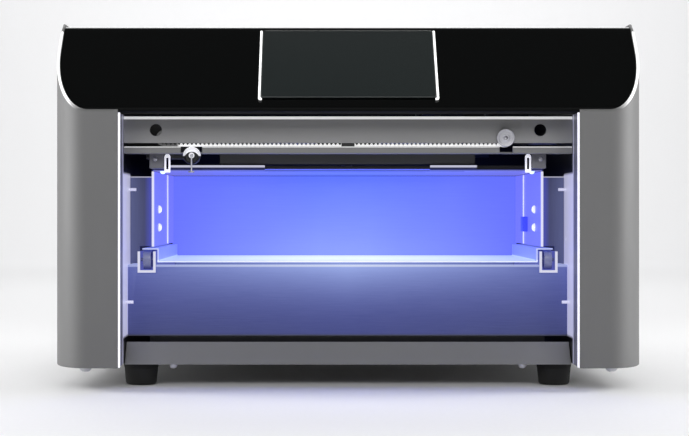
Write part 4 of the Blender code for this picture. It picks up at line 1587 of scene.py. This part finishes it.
def fan_blade(number, count=5):
    """Sections at radius r, pitched by 40 degrees at the hub and 24 at the tip, bent round the hub.
    They are wide enough to leave only narrow gaps."""
    r = np.linspace(0.0106, 0.0252, 9)
    share = np.linspace(0, 1, 9)
    pitch = np.radians(40 - 16 * share)
    chord = 0.0078 + 0.0042 * share
    section = blade_section(1.0, 1.0)
    along = section[None, :, 0] * chord[:, None]
    across = section[None, :, 1] * 0.00045
    swept = along * np.cos(pitch)[:, None] - across * np.sin(pitch)[:, None]
    lift = along * np.sin(pitch)[:, None] + across * np.cos(pitch)[:, None]
    angle = 2 * np.pi * number / count + 0.35 * share[:, None] + swept / r[:, None]
    radius = np.repeat(r[:, None], swept.shape[1], 1)
    points = np.stack([radius * np.cos(angle), lift, radius * np.sin(angle)], -1)
    return surface(f"fan_blade_{number}", points + fan_centre)


hub_profile = eased(
    [
        (0.0, 0.0055),
        (0.0110, 0.0055),
        (0.0110, -0.0055),
        (0.0078, -0.0055),
        (0.0074, -0.0050),
        (0.0, -0.0050),
    ],
    0.0008,
)
rotor = together(
    "fan_rotor_moulded",
    [lathe("fan_hub", hub_profile, "Y", fan_centre)] + [fan_blade(i) for i in range(5)],
)
settle(rotor, "fan_rotor")

# %% [markdown]
# The impeller is a thin disc with a hub. Six curved vanes stand on it.

# %% Impeller
impeller_low, impeller_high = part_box("stirrer_impeller")
impeller_centre = np.array([0.0, (impeller_low.y + impeller_high.y) / 2, impeller_low.z])


def vane(number, count=6):
    """An upright vane from the hub outwards: its middle line turns by half a radian on the way, and
    its top falls towards the rim."""
    r = np.linspace(0.0055, 0.0245, 12)
    share = np.linspace(0, 1, 12)
    angle = 2 * np.pi * number / count + 0.5 * share
    section = rectangle(0.0008, 0.5, 0.0003, steps=3)
    top = 0.0095 - 0.0035 * share
    side = np.stack([-np.sin(angle), np.cos(angle)], -1)
    middle = np.stack([r * np.cos(angle), r * np.sin(angle)], -1)
    flat = middle[:, None] + side[:, None] * section[None, :, :1]
    height = 0.0012 + (section[None, :, 1] + 0.5) * (top[:, None] - 0.0012)
    return surface(f"vane_{number}", np.concatenate([flat, height[..., None]], -1) + impeller_centre)


disc_profile = eased(
    [(0.0, 0.0120), (0.0060, 0.0120), (0.0070, 0.0022), (0.0260, 0.0016), (0.0260, 0.0), (0.0, 0.0)],
    0.0005,
)
wheel = together(
    "impeller_moulded",
    [lathe("impeller_disc", disc_profile, "Z", impeller_centre)] + [vane(i) for i in range(6)],
)
settle(wheel, "stirrer_impeller")
print("rotor and impeller faces:", len(rotor.data.polygons), len(wheel.data.polygons))

# %% [markdown]
# ## Screws
#
# Screws are what make a sheet-metal machine look assembled. Each head is a lathe shape with a dished
# hexagon socket. The socket is a ring of the profile whose radius follows a hexagon,
# r / cos(angle from the middle of the nearest side).

# %% Screws
def hexagon(across):
    """Bends the ring of radius across into a hexagon."""

    def shape(angle, radius):
        off = (angle + np.pi / 6) % (np.pi / 3) - np.pi / 6
        return np.where(np.abs(radius - across) < 0.00001, radius / np.cos(off) * 0.93, radius)

    return shape


def screw(name, centre, axis, way, radius, height):
    """A button head that stands off its surface by height, towards way (+1 or -1) along its axis."""
    socket = radius * 0.48
    t = np.linspace(0, 1, 6)
    dome = np.stack([radius * np.sqrt(1 - (0.86 * t) ** 2), way * height * t], -1)
    profile = np.concatenate(
        [
            [(0.0, 0.0), (radius, 0.0)],
            dome[1:],
            [(socket, way * height), (socket, way * height * 0.35), (0.0, way * height * 0.35)],
        ]
    )
    return lathe(name, profile, axis, centre, steps=36, shape=hexagon(socket))


def screws(name, places, axis, way, radius, height, look="aluminium"):
    """A set of screws as one piece on the chassis."""
    made = together(
        name, [screw(f"{name}_{i}", p, axis, way, radius, height) for i, p in enumerate(places)]
    )
    made.data.materials.clear()
    made.data.materials.append(FINISHES[look])
    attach(made, "chassis")
    print(name, len(places))
    return made


pan_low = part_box("base_pan")[0]
cover_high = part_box("rear_cover")[1]
screws(
    "casing_screws",
    [(sx * 0.178, front + d, casing_low.z) for sx in (-1, 1) for d in (0.020, 0.160, 0.300)],
    "Z",
    -1,
    0.0043,
    0.0036,
)
screws(
    "base_screws",
    [(sx * 0.1205, front + d, pan_low.z) for sx in (-1, 1) for d in (0.046, 0.240)],
    "Z",
    -1,
    0.0030,
    0.0027,
)
screws(
    "rear_screws",
    [(sx * 0.148, cover_high.y, z) for sx in (-1, 1) for z in (0.026, 0.130, 0.236)],
    "Y",
    1,
    0.0028,
    0.0014,
)
# The chamber screws wear the glowing white finish: their glow is painted light.
screws(
    "chamber_screws_left",
    [(-0.1355, front + 0.102, z) for z in (0.1087, 0.1217)],
    "X",
    1,
    0.0029,
    0.0020,
    look="strip_white",
)
screws(
    "chamber_screws_right",
    [(0.1355, front + 0.102, z) for z in (0.1087, 0.1217)],
    "X",
    -1,
    0.0029,
    0.0020,
    look="strip_white",
)

screws(
    "hanger_screws",
    [(sx * 0.1336, front + 0.0504, 0.1564) for sx in (-1, 1)],
    "Y",
    -1,
    0.0015,
    0.0010,
)

# %% [markdown]
# A slim bead runs up each side plate of the chamber, a little behind the middle.

# %% Chamber ribs
def rib(name, side):
    """A slim upright bead on the chamber's side plate, which stiffens it."""
    low, high = chamber_side[0].z + 0.0004, chamber_side[1].z - 0.0004
    middle_z, half_z = (low + high) / 2, (high - low) / 2
    inner_x = chamber_side[0].x - 0.0002
    made = slab(
        name,
        0.0006,
        half_z,
        0.0,
        0.0009,
        0.0005,
        0.0003,
        lambda u, v, h: np.stack([side * (inner_x - h), front + 0.172 + u, middle_z + v], -1),
    )
    # The bead wears the glowing white finish: painted light.
    made.data.materials.append(FINISHES["strip_white"])
    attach(made, "chassis")


rib("chamber_rib_left", -1)
rib("chamber_rib_right", 1)
print("ribs placed")

# %% [markdown]
# ## Lamps
#
# Rows of small light domes sit under the lamp board, behind the diffuser. Two more stand at the front
# corners of the chamber roof.

# %% Lamp domes
board_low, board_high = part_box("led_board")


def dome(name, x, y, z, radius):
    """A quarter-circle profile turned about Z, hanging down from z."""
    t = np.linspace(0, np.pi / 2, 6)
    profile = np.stack([radius * np.cos(t), -radius * np.sin(t)], -1)
    return lathe(name, np.concatenate([[(0.0, 0.0)], profile]), "Z", (x, y, z), steps=16)


lamp_x = np.linspace(board_low.x + 0.006, board_high.x - 0.006, 15)
lamp_y = (board_low.y + (board_high.y - board_low.y) * np.array([0.3, 0.7])).tolist()
domes = together(
    "lamp_domes",
    [
        dome(f"dome_{i}_{j}", x, y, board_low.z, 0.0014)
        for i, x in enumerate(lamp_x)
        for j, y in enumerate(lamp_y)
    ],
)
domes.data.materials.append(FINISHES["lamp_spot"])
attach(domes, "chassis")

corners = together(
    "corner_lamps",
    [
        dome(f"corner_{i}", sx * 0.1300, front + 0.072, ceiling[0].z, 0.0020)
        for i, sx in enumerate((-1, 1))
    ],
)
corners.data.materials.append(FINISHES["lamp_spot"])
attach(corners, "chassis")
print("domes:", 2 * len(lamp_x), "and 2 corner lamps")
